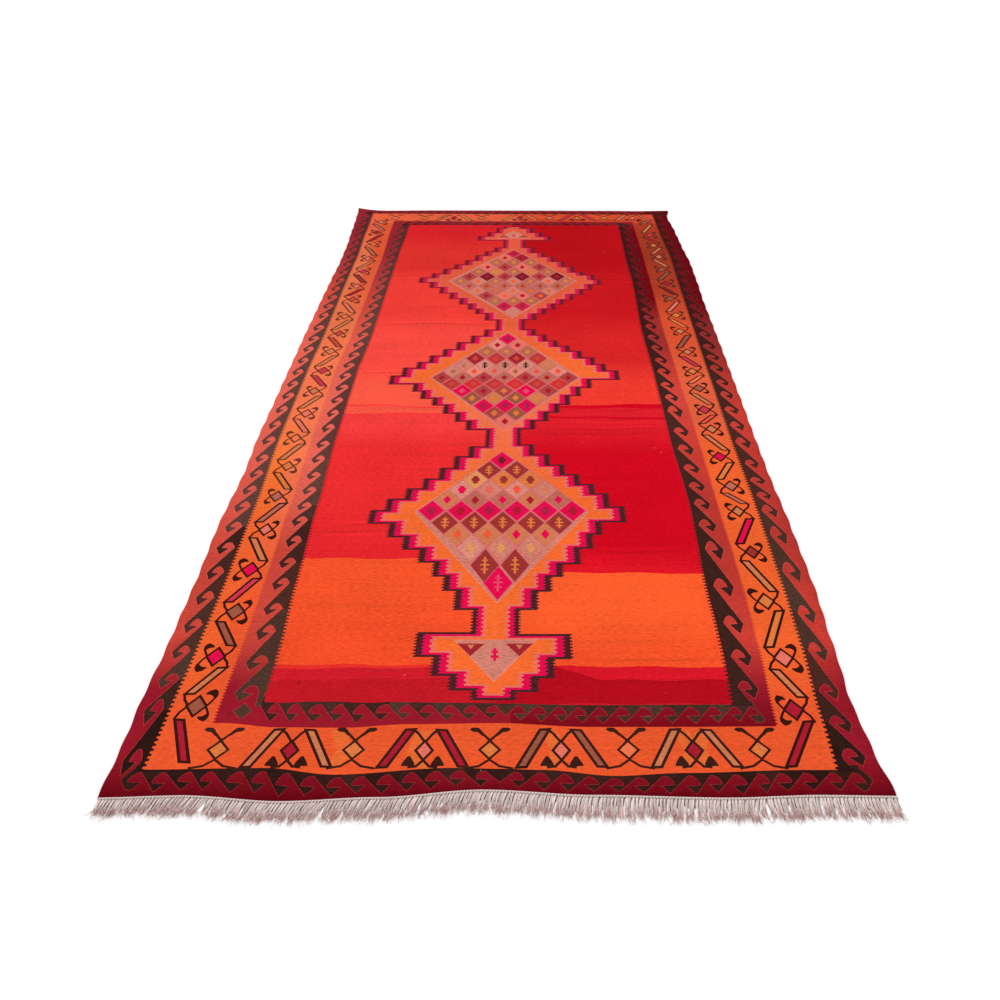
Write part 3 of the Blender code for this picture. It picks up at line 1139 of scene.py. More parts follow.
@dataclass(frozen=True)
class Spine:
    """The three joined medallions and their finials, as steps up both sides.

    Attributes:
        left, right: top and place across of every step, from the far end.
        left_end, right_end: where the last step ends.
        layers: the outlines from the outside in.
        neck: steps narrower than this are necks, whose layers are thinner.
        neck_share: how much thinner.
        narrowest: least distance of a layer's edge from the axis.
        shortest: a step shorter than this is left out.
    """
    left: tuple[tuple[float, float], ...]
    right: tuple[tuple[float, float], ...]
    left_end: float
    right_end: float
    layers: tuple[Layer, ...]
    neck: float = 0.080
    neck_share: float = 0.72
    narrowest: float = 0.004
    shortest: float = 0.002

    def flank(self, rows: Sequence, end: float, sign: float, layer: Layer) -> Points:
        """One side of a layer from its far end to its near one.

        Each step moves towards the axis, and each level moves into the wider of the two steps
        that meet there.

        Args:
            rows: tops and places of the steps.
            end: near end of the last step.
            sign: -1 for the left side and 1 for the right one.
            layer: the layer.

        Returns:
            The side's corners, with teeth on every step.
        """
        tops, out = np.array(rows).T
        out = out * sign
        share = np.where(out < self.neck, self.neck_share, 1.0)
        levels = np.append(tops, end)
        wider_below = out[1:] > out[:-1]
        levels[1:-1] += np.where(wider_below, -layer.along, layer.along)
        levels[0] -= layer.along
        levels[-1] += layer.along
        out = np.maximum(out - layer.across * share, self.narrowest)
        parts = []
        for place, top, low in zip(out, levels, levels[1:]):
            if top - low > self.shortest:
                leg = np.array([(sign * place, top), (sign * place, low)])
                parts.append(combed(leg, layer.pitch, layer.depth))
        return np.concatenate(parts)

    def draw(self, board: Board) -> None:
        """Lay every layer from the outside in.

        Args:
            board: the pattern.
        """
        for layer in self.layers:
            left = self.flank(self.left, self.left_end, -1.0, layer)
            right = self.flank(self.right, self.right_end, 1.0, layer)
            board.lay(np.concatenate([left, right[::-1]]), layer.dye)


@dataclass(frozen=True)
class Net:
    """A medallion's net of lozenges.

    Attributes:
        corners: the net's outer corners.
        half_width: half the width of every lozenge's cell.
        rows: y and half the height of each row's cells, the places across, and the dyes of the
            lozenges and of their figures.
        ground: dye of what the lozenges leave free.
        line: dye of the net's lines.
        edge: dye of the thin rim around it.
        gap: half the width of the lines.
        rim: width of the thin rim.
        wander: how far a lozenge stands off its place.
    """
    corners: tuple[tuple[float, float], ...]
    half_width: float
    rows: Chart
    ground: Dye
    line: Dye
    edge: Dye
    gap: float
    rim: float = 0.0016
    wander: float = 0.0012

    def figure(self, board: Board, centre: Points, half: float, kind: str, dye: Dye) -> None:
        """The small figure inside a lozenge.

        Args:
            board: the pattern.
            centre: middle of the lozenge.
            half: half the lozenge's height.
            kind: comb (a stem with crossbars), drop (a small lozenge) or bud (a short thick bar).
            dye: the figure's dye.
        """
        if kind == "comb":
            stem, half_stem, bar = half * 0.50, 0.0030, 0.0058
            board.lay(box_shape(-half_stem, -stem, half_stem, stem) + centre, dye)
            for level, reach in ((-0.50, 0.0100), (0.06, 0.0125), (0.60, 0.0085)):
                low = level * stem - half_stem
                board.lay(box_shape(-reach, low, reach, low + bar) + centre, dye)
        elif kind == "drop":
            board.lay(diamond(centre, 0.0125, half * 0.44), dye)
        elif kind == "bud":
            board.lay(box_shape(-0.0075, -half * 0.40, 0.0075, half * 0.40) + centre, dye)
            board.lay(box_shape(-0.0125, -half * 0.16, 0.0125, half * 0.18) + centre, dye)

    def draw(self, board: Board, dice: np.random.Generator) -> None:
        """Lay the net's ground, then each row's lozenges with their lines and figures.

        Args:
            board: the pattern.
            dice: the source of chance.
        """
        board.lay_outlined(np.array(self.corners), self.ground, self.edge, self.rim)
        overlap = 0.001
        for row in self.rows.records():
            for x in row["xs"]:
                half = (self.half_width + overlap, row["half_height"] + overlap)
                board.lay(diamond((x, row["y"]), *half), self.line)
        for row in self.rows.records():
            fills, inks = row["fills"], row["inks"]
            gap = self.gap * math.sqrt(1 + (row["half_height"] / self.half_width) ** -2)
            half_height = row["half_height"] - gap * 1.3
            for index, x in enumerate(row["xs"]):
                fill, ink = fills[index % len(fills)], inks[index % len(inks)]
                centre = np.array([x, row["y"]]) + dice.uniform(-self.wander, self.wander, 2)
                board.lay(diamond(centre, self.half_width - gap, half_height), fill)
                if row["kind"] != "none":
                    self.figure(board, centre, half_height, row["kind"], ink)


@dataclass(frozen=True)
class Finial:
    """The marled triangle inside the spine's end, with two dark triangles and a small figure.

    Attributes:
        base: y of the triangle's long side.
        apex: x and y of its point.
        left, right: limits of the long side.
        drawn_width: the long side at which the figures are drawn.
        rim: width of the pale rim.
    """
    base: float
    apex: tuple[float, float]
    left: float
    right: float
    drawn_width: float = 0.198
    rim: float = 0.0025

    def draw(self, board: Board) -> None:
        """Lay the triangle, its two dark corners with gold spots, and the figure.

        Args:
            board: the pattern.
        """
        way = math.copysign(1, self.apex[1] - self.base)
        middle, size = (self.left + self.right) / 2, (self.right - self.left) / self.drawn_width

        def triangle(x: float, base: float, half: float, tall: float) -> Points:
            """A triangle on the base, with its point towards the finial's own."""
            return np.array([(x - half, base), (x + half, base), (x, base + way * tall)])

        def bar(y: float, half_width: float, half_height: float) -> None:
            """An upright box of the figure around the finial's middle."""
            corners = (middle - half_width, y - half_height, middle + half_width, y + half_height)
            board.lay(box_shape(*corners), Dye.MAGENTA)

        whole = np.array([(self.left, self.base), (self.right, self.base), self.apex])
        board.lay_outlined(whole, Dye.MARL, Dye.ROSE_PALE, self.rim)
        for corner in (-1.0, 1.0):
            x, top = middle + corner * 0.060 * size, self.base + way * 0.010 * size
            board.lay(triangle(x, top, 0.034 * size, 0.040 * size), Dye.CRIMSON_BROWN)
            spot = triangle(x, top + way * 0.004, 0.009, 0.0)
            spot[2, 1] = top + way * 0.018 * size
            board.lay(spot, Dye.TAN)
        y = self.base + way * 0.044 * size
        bar(y, 0.0035, 0.020 * size)
        bar(y - 0.007, 0.010, 0.004)
        bar(y + 0.008, 0.0085, 0.004)


# --- The whole pattern ----------------------------------------------------------------

# Top and place across of every step of the spine, from the far end.
SPINE_LEFT = (
    (1.488, -.0516), (1.464, -.0876), (1.406, -.130), (1.357, -.1776), (1.296, -.0476),
    (1.209, -.090), (1.160, -.136), (1.114, -.179), (1.056, -.225), (1.007, -.271), (.958, -.320),
    (.903, -.369), (.860, -.421), (.8015, -.369), (.749, -.320), (.691, -.271), (.636, -.225),
    (.584, -.185), (.535, -.151), (.495, -.109), (.4356, -.060), (.356, -.107), (.304, -.158),
    (.250, -.212), (.1945, -.261), (.144, -.309), (.094, -.352), (.046, -.401), (-.008, -.442),
    (-.0705, -.350), (-.1196, -.3165), (-.1687, -.2706), (-.213, -.2276), (-.264, -.183),
    (-.313, -.142), (-.364, -.072), (-.456, -.125), (-.510, -.169), (-.572, -.211), (-.627, -.2575),
    (-.676, -.305), (-.726, -.358), (-.779, -.401), (-.841, -.336), (-.900, -.288), (-.951, -.237),
    (-1.003, -.194), (-1.057, -.161), (-1.110, -.127), (-1.178, -.077), (-1.252, -.2135),
    (-1.331, -.167), (-1.388, -.122), (-1.430, -.067))
SPINE_RIGHT = (
    (1.488, .054), (1.462, .104), (1.406, .148), (1.351, .192), (1.296, .064), (1.212, .107),
    (1.148, .156), (1.099, .202), (1.0436, .248), (.982, .291), (.921, .331), (.890, .3785),
    (.840, .404), (.779, .361), (.727, .318), (.678, .272), (.626, .229), (.583, .1896),
    (.537, .1485), (.491, .107), (.4387, .059), (.359, .1037), (.313, .148), (.264, .1896),
    (.221, .2356), (.181, .280), (.129, .3276), (.080, .366), (.031, .4117), (-.0387, .304),
    (-.095, .261), (-.150, .220), (-.2086, .180), (-.2577, .1405), (-.310, .0945), (-.359, .0454),
    (-.445, .0895), (-.500, .139), (-.555, .1856), (-.605, .230), (-.655, .273), (-.700, .313),
    (-.762, .357), (-.835, .282), (-.889, .252), (-.947, .214), (-1.010, .163), (-1.058, .130),
    (-1.113, .093), (-1.178, .0455), (-1.258, .174), (-1.338, .130), (-1.395, .091), (-1.435, .037))
SPINE_LAYERS = (
    Layer(lots("-1.4 SPINE_NEAR, -.2 SPINE_NEAR, .6 SPINE_FAR"), 0.0, 0.0, .0100, .0062),
    Layer(lots("-.5 MAGENTA, .2 MAGENTA, 1.0 MAGENTA_FAR"), .0195, .0074, .0105, .0056),
    Layer(lots("-1.0 ROSE, .1 ROSE, 1.0 ROSE_FAR"), .0385, .0135, .0150, .0060),
    Layer(lots("-1.3 RING, -.7 RING, -.3 RING_PINK, 0.0 RING, .5 RING_FAR, 1.0 RING_FAR"),
          .0485, .0190, .0150, .0050))

NET_NAMES = "y half_height xs fills inks kind"
NEAR_NET = Net(
    ((-.014, -.486), (-.268, -.788), (-.014, -1.152), (.248, -.788)), .0415,
    table(NET_NAMES, """
        -.533 .049 -.0147/ MAGENTA/ MAROON_DARK/ bud, -.584 .050 -.0535/.033 MAROON/ GOLD/ comb,
        -.634 .050 -.094/-.008/.077 GOLD_PALE/GOLD/GOLD CRIMSON_BROWN/MAROON/MAROON bud,
        -.683 .050 -.134/-.048/.0345/.121 MARL_PALE/MARL/MARL_PALE/MARL
        MAGENTA/SALMON_PALE/CORAL/TAN_PALE bud,
        -.732 .050 -.176/-.092/-.0085/.075/.159 TAN/TAUPE/TAUPE MAGENTA/CRIMSON drop,
        -.782 .050 -.219/-.1335/-.05/.0345/.1175/.200 MAGENTA/ PURPLE/CRIMSON bud,
        -.836 .053 -.175/-.09/-.006/.076/.158 MAROON/ GOLD/ comb,
        -.886 .053 -.134/-.048/.0345/.1167 TAN/ CORAL/CORAL/MAGENTA/MAGENTA drop,
        -.943 .060 -.094/-.0095/.075 MARL_PALE/MARL/MARL GOLD_PALE/ drop,
        -1.012 .068 -.052/.031 MAROON/ GOLD/ comb, -1.081 .066 -.0140/ MAGENTA/ PINK/ comb"""),
    Dye.MARL, Dye.LILAC, Dye.ROSE_PALE, .0023)
MIDDLE_NET = Net(
    ((-.009, .336), (-.292, -.020), (-.010, -.364), (.264, -.020)), .0395,
    table(NET_NAMES, """
        .279 .050 -.009/ MAGENTA/ PURPLE/ bud, .226 .052 -.050/.030 ROSE_PALE/ROSE CRIMSON/ drop,
        .174 .052 -.090/-.011/.070 OLIVE/TAUPE GOLD/ drop,
        .121 .052 -.131/-.052/.027/.107 CRIMSON_BROWN/MADDER_PALE SALMON/ drop,
        .0700 .050 -.172/-.0930/-.016/.063/.1436 MARL/MARL_PALE/MARL/MARL_PALE/TAN
        TAUPE/WALNUT_LINE/WALNUT_LINE/WALNUT_LINE/MARL comb,
        .0245 .047 -.211/-.132/-.054/.024/.104/.184 MARL/ROSE_PALE OLIVE/CORAL/CORAL drop,
        -.021 .046 -.249/-.172/-.094/-.018/.061/.142/.220 MAROON_PALE/TAUPE CRIMSON/ drop,
        -.066 .046 -.209/-.131/-.053/.024/.103/.183 MADDER_PALE/SCARLET SALMON/ drop,
        -.1135 .048 -.169/-.0910/-.016/.063/.1436 MAGENTA/MAROON_PALE/MAROON_PALE PINK/CRIMSON/GOLD drop,
        -.1615 .050 -.129/-.0500/.026/.1046 TAUPE_BROWN/TAN GOLD/ drop,
        -.2117 .050 -.0880/-.0098/.066 MAGENTA/ PURPLE/ bud,
        -.2590 .049 -.0480/.028 MAROON_PALE/TAUPE_BROWN GOLD/ drop,
        -.309 .050 -.0098/ ROSE/ CRIMSON/ drop"""),
    Dye.MARL, Dye.LILAC, Dye.ROSE_PALE, .0027)
FAR_NET = Net(
    ((.004, 1.188), (-.286, .822), (.008, .456), (.290, .822)), .0395,
    table(NET_NAMES, """
        1.131 .051 .0055/ MAGENTA_FAR/ PURPLE/ bud,
        1.081 .052 -.035/.046 ROSE/CRIMSON_BROWN CRIMSON/ drop,
        1.028 .053 -.074/.006/.087 OLIVE/ GOLD/ drop,
        .975 .053 -.114/-.034/.046/.127 ROSE/MAROON_PALE CRIMSON/ drop,
        .922 .053 -.154/-.073/.007/.086/.166 OLIVE/TAN GOLD/ drop,
        .870 .052 -.194/-.112/-.033/.047/.126/.206 MAROON_PALE/MAROON_DARK CRIMSON/ drop,
        .820 .050 -.233/-.153/-.073/.006/.085/.165/.244 TAUPE/MARL GOLD/ORANGE drop,
        .768 .050 -.19/-.112/-.032/.048/.128/.206 TAUPE/OLIVE MADDER_PALE/ drop,
        .719 .050 -.152/-.072/.007/.086/.166 MARL/TAUPE ORANGE/ drop,
        .670 .050 -.110/-.030/.048/.127 MAROON_PALE/ROSE/ROSE/MAROON_PALE CRIMSON/ORANGE drop,
        .620 .051 -.070/.0086/.087 OLIVE/ GOLD/ drop, .568 .051 -.030/.047 MAGENTA_FAR/ PURPLE/ bud,
        .514 .050 .008/ MARL/ ROSE/ none"""),
    Dye.MARL, Dye.LILAC, Dye.ROSE_PALE, .0027)

SIDE_ROWS = "station fill hooks bar"
LEFT_ROWS = table(SIDE_ROWS, """
    -1.473 TAUPE_BROWN in TAN, -1.330 MAGENTA out TAUPE_BROWN, -1.183 TAUPE_BROWN in MAGENTA_SOFT,
    -1.030 MAGENTA out TAN, -.867 ROSE in TAUPE, -.715 TAUPE out GOLD, -.563 GOLD in TAN,
    -.410 ORANGE_PINK out ROSE, -.261 ROSE in TAN, -.115 TAN out MAGENTA_SOFT, .029 MAGENTA_SOFT in TAN,
    .176 TAN out SALMON, .323 SALMON in TAN, .473 GOLD out ROSE, .635 SALMON in CRIMSON,
    .769 ROSE out MAROON, .926 MAGENTA_SOFT in TAN, 1.075 ROSE out OLIVE, 1.250 GOLD in CRIMSON,
    1.405 CRIMSON_BROWN out TAUPE, 1.550 TAN in TAN""")
RIGHT_ROWS = table(SIDE_ROWS, """
    -1.484 CRIMSON in TAN, -1.334 ROSE out GOLD, -1.147 GOLD in TAN, -.961 MAROON out MAGENTA,
    -.785 TAN in TAUPE, -.665 TAUPE out GOLD, -.513 MAGENTA in TAN, -.357 TAN out CORAL,
    -.238 MAGENTA_SOFT in TAN, -.096 TAUPE_BROWN out ORANGE_PINK, .024 GOLD in MAGENTA_SOFT,
    .171 TAN out TAUPE_BROWN, .341 TAN in GOLD, .483 GOLD out ROSE, .643 TAUPE_BROWN in MAROON_DARK,
    .795 CRIMSON out TAUPE_BROWN, .947 TAUPE_BROWN in TAN, 1.095 TAN out TAN, 1.235 GOLD in CRIMSON,
    1.368 MAGENTA_SOFT out TAN, 1.540 TAUPE_BROWN in TAN""")

NEAR_CROSSES = table("x fill", "-.613 GOLD, -.3165 GOLD, -.0187 GOLD, .285 ORANGE_PINK, .572 GOLD")
NEAR_TENTS = table("x fill left right", """
    -.456 CRIMSON TAN TAN, -.162 ROSE CRIMSON CRIMSON, .138 ROSE TAUPE_BROWN TAUPE_BROWN,
    .429 CRIMSON TAN TAN""")
FAR_CROSSES = table("x fill", "-.628 ROSE, -.471 GOLD, -.169 TAN, .190 ROSE, .479 GOLD")
FAR_TENTS = table("x fill left right", """
    -.316 CRIMSON_BROWN OLIVE TAN, .034 MAROON GOLD TAN, .336 GOLD MAGENTA_SOFT MAGENTA_SOFT,
    .630 ROSE TAN TAUPE""")

# Places of the walnut tips along the side bands, from the near end.
LEFT_OUTER_TIPS = (
    -1.6145, -1.485, -1.400, -1.3145, -1.2295, -1.134, -1.041, -.943, -.8545, -.763, -.684, -.6034,
    -.521, -.4224, -.330, -.236, -.147, -.0657, .018, .105, .1936, .28, .371, .481, .567)
LEFT_INNER_TIPS = (
    -1.436, -1.3466, -1.251, -1.173, -1.0826, -1.0024, -.9145, -.832, -.761, -.6865, -.612, -.5266,
    -.444, -.3494, -.260, -.1785, -.092, -.0105, .066, .148, .2296, .311, .397, .483, .5695, .658,
    .757, .84, .922, 1.004)
RIGHT_OUTER_TIPS = (
    -1.603, -1.521, -1.432, -1.312, -1.190, -1.036, -.888, -.782, -.7105, -.638, -.550, -.434, -.336,
    -.2385, -.140, -.056, .047, .129, .215, .316, .399, .481, .567)
RIGHT_INNER_TIPS = (
    -1.425, -1.331, -1.2247, -1.094, -.953, -.847, -.751, -.666, -.576, -.472, -.372, -.248, -.159,
    -.073, .023, .106, .203, .292, .385, .464, .538, .62)

# Places of the red crests across the near end's bands, from the middle outwards.
NEAR_OUTER_LEFT = (
    -.026, -.077, -.129, -.180, -.232, -.286, -.336, -.3905, -.445, -.497, -.547, -.610, -.655, -.709,
    -.760)
NEAR_OUTER_RIGHT = (
    .036, .088, .140, .192, .244, .298, .3525, .407, .4545, .504, .556, .600, .654, .711, .758)
NEAR_INNER_LEFT = (-.010, -.060, -.110, -.159, -.209, -.259, -.3135, -.363, -.411, -.465, -.510)
NEAR_INNER_RIGHT = (.040, .0865, .133, .1795, .226, .2755, .3275, .382, .434, .486, .536, .574)
# How the last hook stands beyond its crest where a band turns round a corner.
INNER_CORNER = Chart("out along", ((.010, -.002), (.026, -.034), (.027, -.044), (.016, -.049)))
NEAR_CORNER = Chart("out along", ((.016, .004), (.024, -.004), (.036, -.021), (.034, -.028), (.020, -.046)))

# Wool along the bands, from the near end. The left side's is paler than the right side's: partly dye, partly
# painted light falling from the left.
RED_OUTER_LEFT = lots("""
    -1.7 BURGUNDY_DEEP, -1.6 BURGUNDY, -1.42 BURGUNDY, -1.27 SALMON, -1.0 SALMON, -.7 SALMON_WARM,
    -.2 SALMON_PALE, .25 SALMON_PALE, .5 SALMON_WARM, .75 SALMON, 1.0 ROSE_BROWN, 1.4 ROSE_DARK""")
RED_INNER_LEFT = lots("""
    -1.55 BURGUNDY, -1.42 BURGUNDY, -1.27 SALMON, -.95 SALMON, -.65 SALMON_PALE, -.1 SALMON_PALE,
    .3 SALMON_WARM, .6 SALMON, .9 ROSE_BROWN, 1.2 ROSE_DARK, 1.5 ROSE_DARK""")
RED_OUTER_RIGHT = lots("""
    -1.7 BURGUNDY_DEEP, -1.6 BURGUNDY, -1.42 BURGUNDY, -1.27 BRICK, -.95 BRICK_DULL, -.7 BRICK_DULL,
    -.3 BRICK, -.05 BRICK_DULL, .15 MADDER_DARK, .38 MADDER_DULL, .6 BURGUNDY_NIGHT, 1.7 BURGUNDY_DEEP""")
RED_INNER_RIGHT = lots("""
    -1.55 BURGUNDY_NIGHT, -1.42 BURGUNDY, -1.27 BRICK, -.95 BRICK_DULL, -.7 BRICK_DULL, -.45 BRICK,
    -.2 BRICK_PALE, .0 BRICK, .2 MADDER_DARK, .42 MADDER_DARK, .62 BURGUNDY_NIGHT, 1.43 BURGUNDY_NIGHT,
    1.53 BURGUNDY""")
RED_END = lots("-1.7 BURGUNDY_DEEP, -1.6 BURGUNDY, 1.6 BURGUNDY, 1.7 ROSE_DARK")
ORANGE_LEFT = lots("""
    -1.66 ORANGE_END, -1.5 ORANGE_END, -1.4 ORANGE, -.9 ORANGE, -.55 ORANGE_WARM, -.2 ORANGE_PINK,
    .1 ORANGE_PINK, .5 ORANGE_FADED, 1.1 ORANGE_FADED, 1.45 ORANGE_ROSE, 1.65 ORANGE_ROSE""")
ORANGE_LEFT_INNER = lots("""
    -1.5 ORANGE_END, -1.1 ORANGE_END, -.6 ORANGE_PINK, .1 ORANGE_PINK, .4 ORANGE_FADED, .7 ORANGE_ROSE,
    1.1 ORANGE_BRICK, 1.5 ORANGE_BRICK""")
ORANGE_RIGHT = lots("""
    -1.66 ORANGE_END, -1.48 ORANGE_END, -1.35 ORANGE, -.9 ORANGE, -.5 ORANGE, -.3 ORANGE_ROSE,
    .0 ORANGE_ROSE, .16 ORANGE_BRICK, .45 ORANGE_DEEP, .72 ORANGE_BROWN, 1.2 ORANGE_DARK,
    1.5 ORANGE_BROWN, 1.6 ORANGE_DEEP""")
WALNUT_OUTER_LEFT = lots("""
    -1.6 WALNUT_BLACK, -1.5 WALNUT_BLACK, -1.4 WALNUT_MOSS, -1.1 WALNUT_WARM, -.92 WALNUT,
    -.8 WALNUT_GREY, .3 WALNUT_GREY, .8 WALNUT_ROSE, 1.3 WALNUT_DUSK, 1.6 WALNUT_DUSK""")
WALNUT_INNER_LEFT = lots("""
    -1.5 WALNUT_MOSS, -1.35 WALNUT_MOSS, -1.1 WALNUT_WARM, -.88 WALNUT, -.72 WALNUT_GREY,
    -.3 WALNUT_ROSE, .4 WALNUT_GREY, .9 WALNUT_ROSE, 1.3 WALNUT_DUSK, 1.5 WALNUT_DUSK""")
WALNUT_OUTER_RIGHT = lots("""
    -1.6 WALNUT_BLACK, -1.45 WALNUT_WARM, -1.1 WALNUT_MOSS, -.7 WALNUT_WARM, -.3 WALNUT_WARM, .1 WALNUT,
    .8 WALNUT_WINE, 1.6 WALNUT_WINE""")
WALNUT_INNER_RIGHT = lots("""
    -1.5 WALNUT, -.9 WALNUT, -.4 WALNUT_WARM, .0 WALNUT, .5 WALNUT_WINE, 1.5 WALNUT_WINE""")
PINK_LEFT = lots("""
    -1.5 OUTLINE_DEEP, -1.2 OUTLINE, -.8 OUTLINE_PALE, .4 OUTLINE_PALE, .9 OUTLINE, 1.3 OUTLINE_DEEP""")
PINK_RIGHT = lots("-1.5 OUTLINE_DEEP, -1.2 OUTLINE, -.1 OUTLINE, .4 OUTLINE_DEEP, .8 OUTLINE_END")
LINE_LEFT = lots("""
    -1.5 WALNUT_LINE, -.9 WALNUT_LINE, -.6 WALNUT_LINE_FADED, .3 WALNUT_LINE_FADED, 1.0 WALNUT_DUSK,
    1.5 WALNUT_DUSK""")
LINE_RIGHT = lots("-1.5 WALNUT_LINE, -.4 WALNUT_LINE, .4 WALNUT_WARM, 1.5 WALNUT_WARM")

# Colours of the field from the near end: where each starts, how far its join rises towards the
# middle of the rug, and its lots. The left half is paler than the right: partly dye, partly painted light
# falling from the left.
FIELD_LEFT = Chart("start rise dye", (
    (-1.480, 0, Dye.FIELD_PLUM), (-1.402, .012, Dye.FIELD_CRIMSON), (-1.366, .004, Dye.FIELD_FLAME),
    (-1.353, -.004, lots("-1.3 FIELD_EMBER, -1.1 FIELD_ORANGE")),
    (-.985, -.004, lots("-.98 FIELD_SCARLET, -.75 FIELD_POPPY, -.47 FIELD_POPPY, -.34 FIELD_ROSE")),
    # The thin coral and rose stripes at -.262 and -.219 are painted light and shade of a fold, woven in as
    # rows.
    (-.262, .010, Dye.FIELD_CORAL), (-.219, -.016, Dye.FIELD_ROSE),
    (-.208, -.020, lots("""
        -.20 FIELD_CORAL, -.06 FIELD_CORAL, .03 FIELD_SHRIMP, .30 FIELD_SHRIMP, .50 FIELD_RUST,
        .82 FIELD_RUST, .96 FIELD_BRICK, 1.2 FIELD_BRICK, 1.36 FIELD_CHERRY"""))))
FIELD_RIGHT = Chart("start rise dye", (
    (-1.480, 0, Dye.RIGHT_PLUM), (-1.400, .0, Dye.RIGHT_SCARLET),
    (-1.362, .004, lots("-1.34 RIGHT_EMBER, -1.2 RIGHT_ORANGE")),
    (-1.045, .006, lots("-1.03 RIGHT_RUBY, -.93 RIGHT_CRIMSON, -.5 RIGHT_CRIMSON, -.33 RIGHT_ROSE")),
    # The stripes from -.300 to -.234 are painted shade and light of folds, woven in as rows of darker and
    # lighter red.
    (-.300, .016, Dye.RIGHT_CRIMSON), (-.288, .012, Dye.RIGHT_ROSE), (-.234, .004, Dye.RIGHT_CRIMSON),
    (-.207, -.010, lots("""
        -.20 RIGHT_POPPY, -.05 RIGHT_POPPY, .12 RIGHT_CLAY, .3 RIGHT_CLAY, .52 RIGHT_GARNET,
        .8 RIGHT_GARNET, 1.0 RIGHT_OXBLOOD"""))))

# Outline of a paler patch of the near end's orange, in millimetres.
AMBER_PATCH = Chart("out along", ((-25, 47), (15, 45), (30, -18), (4, -48), (-22, -48), (-2, -3)))


@dataclass(frozen=True)
class HookBand:
    """What the running hooks of one red band are drawn from.

    Attributes:
        name: outer or inner.
        tips: places of the walnut tips along the left and the right side.
        pitches: step of the hooks beyond them.
        walnuts: the dark lots of the left and the right side.
        tip, head, last: shares of the band's width at the tips and heads, and where the hooks stop.
        crests: places of the crests across the near end, to the left and to the right.
        near_turn, far_turn: places at which the lean turns over at each end.
        far_reach: how far the far end's hooks reach to each side.
        near_walnut, far_walnut: dyes of the dark wool at each end.
        outline: dye of the outline at the near end.
        corners: how the last hooks of the near end stand beyond their crests.
        walls: dark fillings between the near end's hooks and the sides'.
        wall_walnut, wall_edging: their dyes, and the width of their outline.
    """
    name: str
    tips: tuple[tuple[float, ...], tuple[float, ...]]
    pitches: tuple[float, float]
    walnuts: tuple[Abrash, Abrash]
    tip: float
    head: float
    last: float
    crests: tuple[tuple[float, ...], tuple[float, ...]]
    near_turn: float
    far_turn: float
    far_reach: float
    near_walnut: tuple[Dye, Dye]
    far_walnut: tuple[Dye, Dye]
    outline: Dye
    corners: tuple[Chart | None, Chart | None]
    walls: tuple[tuple[tuple[float, float], ...], ...]
    wall_walnut: tuple[Dye, Dye]
    wall_edging: float


OUTER_HOOKS = HookBand(
    "outer", tips=(LEFT_OUTER_TIPS, RIGHT_OUTER_TIPS), pitches=(.088, .087),
    walnuts=(WALNUT_OUTER_LEFT, WALNUT_OUTER_RIGHT), tip=.24, head=.83, last=1.64,
    crests=(NEAR_OUTER_LEFT, NEAR_OUTER_RIGHT), near_turn=.005, far_turn=.010, far_reach=.765,
    near_walnut=(Dye.WALNUT_BLACK, Dye.WALNUT), far_walnut=(Dye.WALNUT, Dye.WALNUT_WINE),
    outline=Dye.OUTLINE_END, corners=(NEAR_CORNER, NEAR_CORNER),
    walls=(((-.748, -1.580), (-.7685, -1.580), (-.769, -1.612), (-.776, -1.632), (-.780, -1.641),
            (-.748, -1.641)),
           ((.727, -1.580), (.747, -1.580), (.748, -1.612), (.7585, -1.630), (.772, -1.641),
            (.727, -1.641))),
    wall_walnut=(Dye.WALNUT_BLACK, Dye.WALNUT_BLACK), wall_edging=.0011)
INNER_HOOKS = HookBand(
    "inner", tips=(LEFT_INNER_TIPS, RIGHT_INNER_TIPS), pitches=(.086, .087),
    walnuts=(WALNUT_INNER_LEFT, WALNUT_INNER_RIGHT), tip=.25, head=.80, last=1.51,
    crests=(NEAR_INNER_LEFT, NEAR_INNER_RIGHT), near_turn=.015, far_turn=.015, far_reach=.585,
    near_walnut=(Dye.WALNUT_MOSS, Dye.WALNUT), far_walnut=(Dye.WALNUT_DUSK, Dye.WALNUT_WINE),
    outline=Dye.OUTLINE_DEEP, corners=(None, INNER_CORNER),
    walls=(((-.548, -1.415), (-.5625, -1.415), (-.5625, -1.444), (-.5605, -1.4735), (-.548, -1.4735)),
           ((.530, -1.405), (.5545, -1.405), (.5600, -1.4215), (.5845, -1.4735), (.530, -1.4735))),
    wall_walnut=(Dye.WALNUT_MOSS, Dye.WALNUT), wall_edging=.0012)


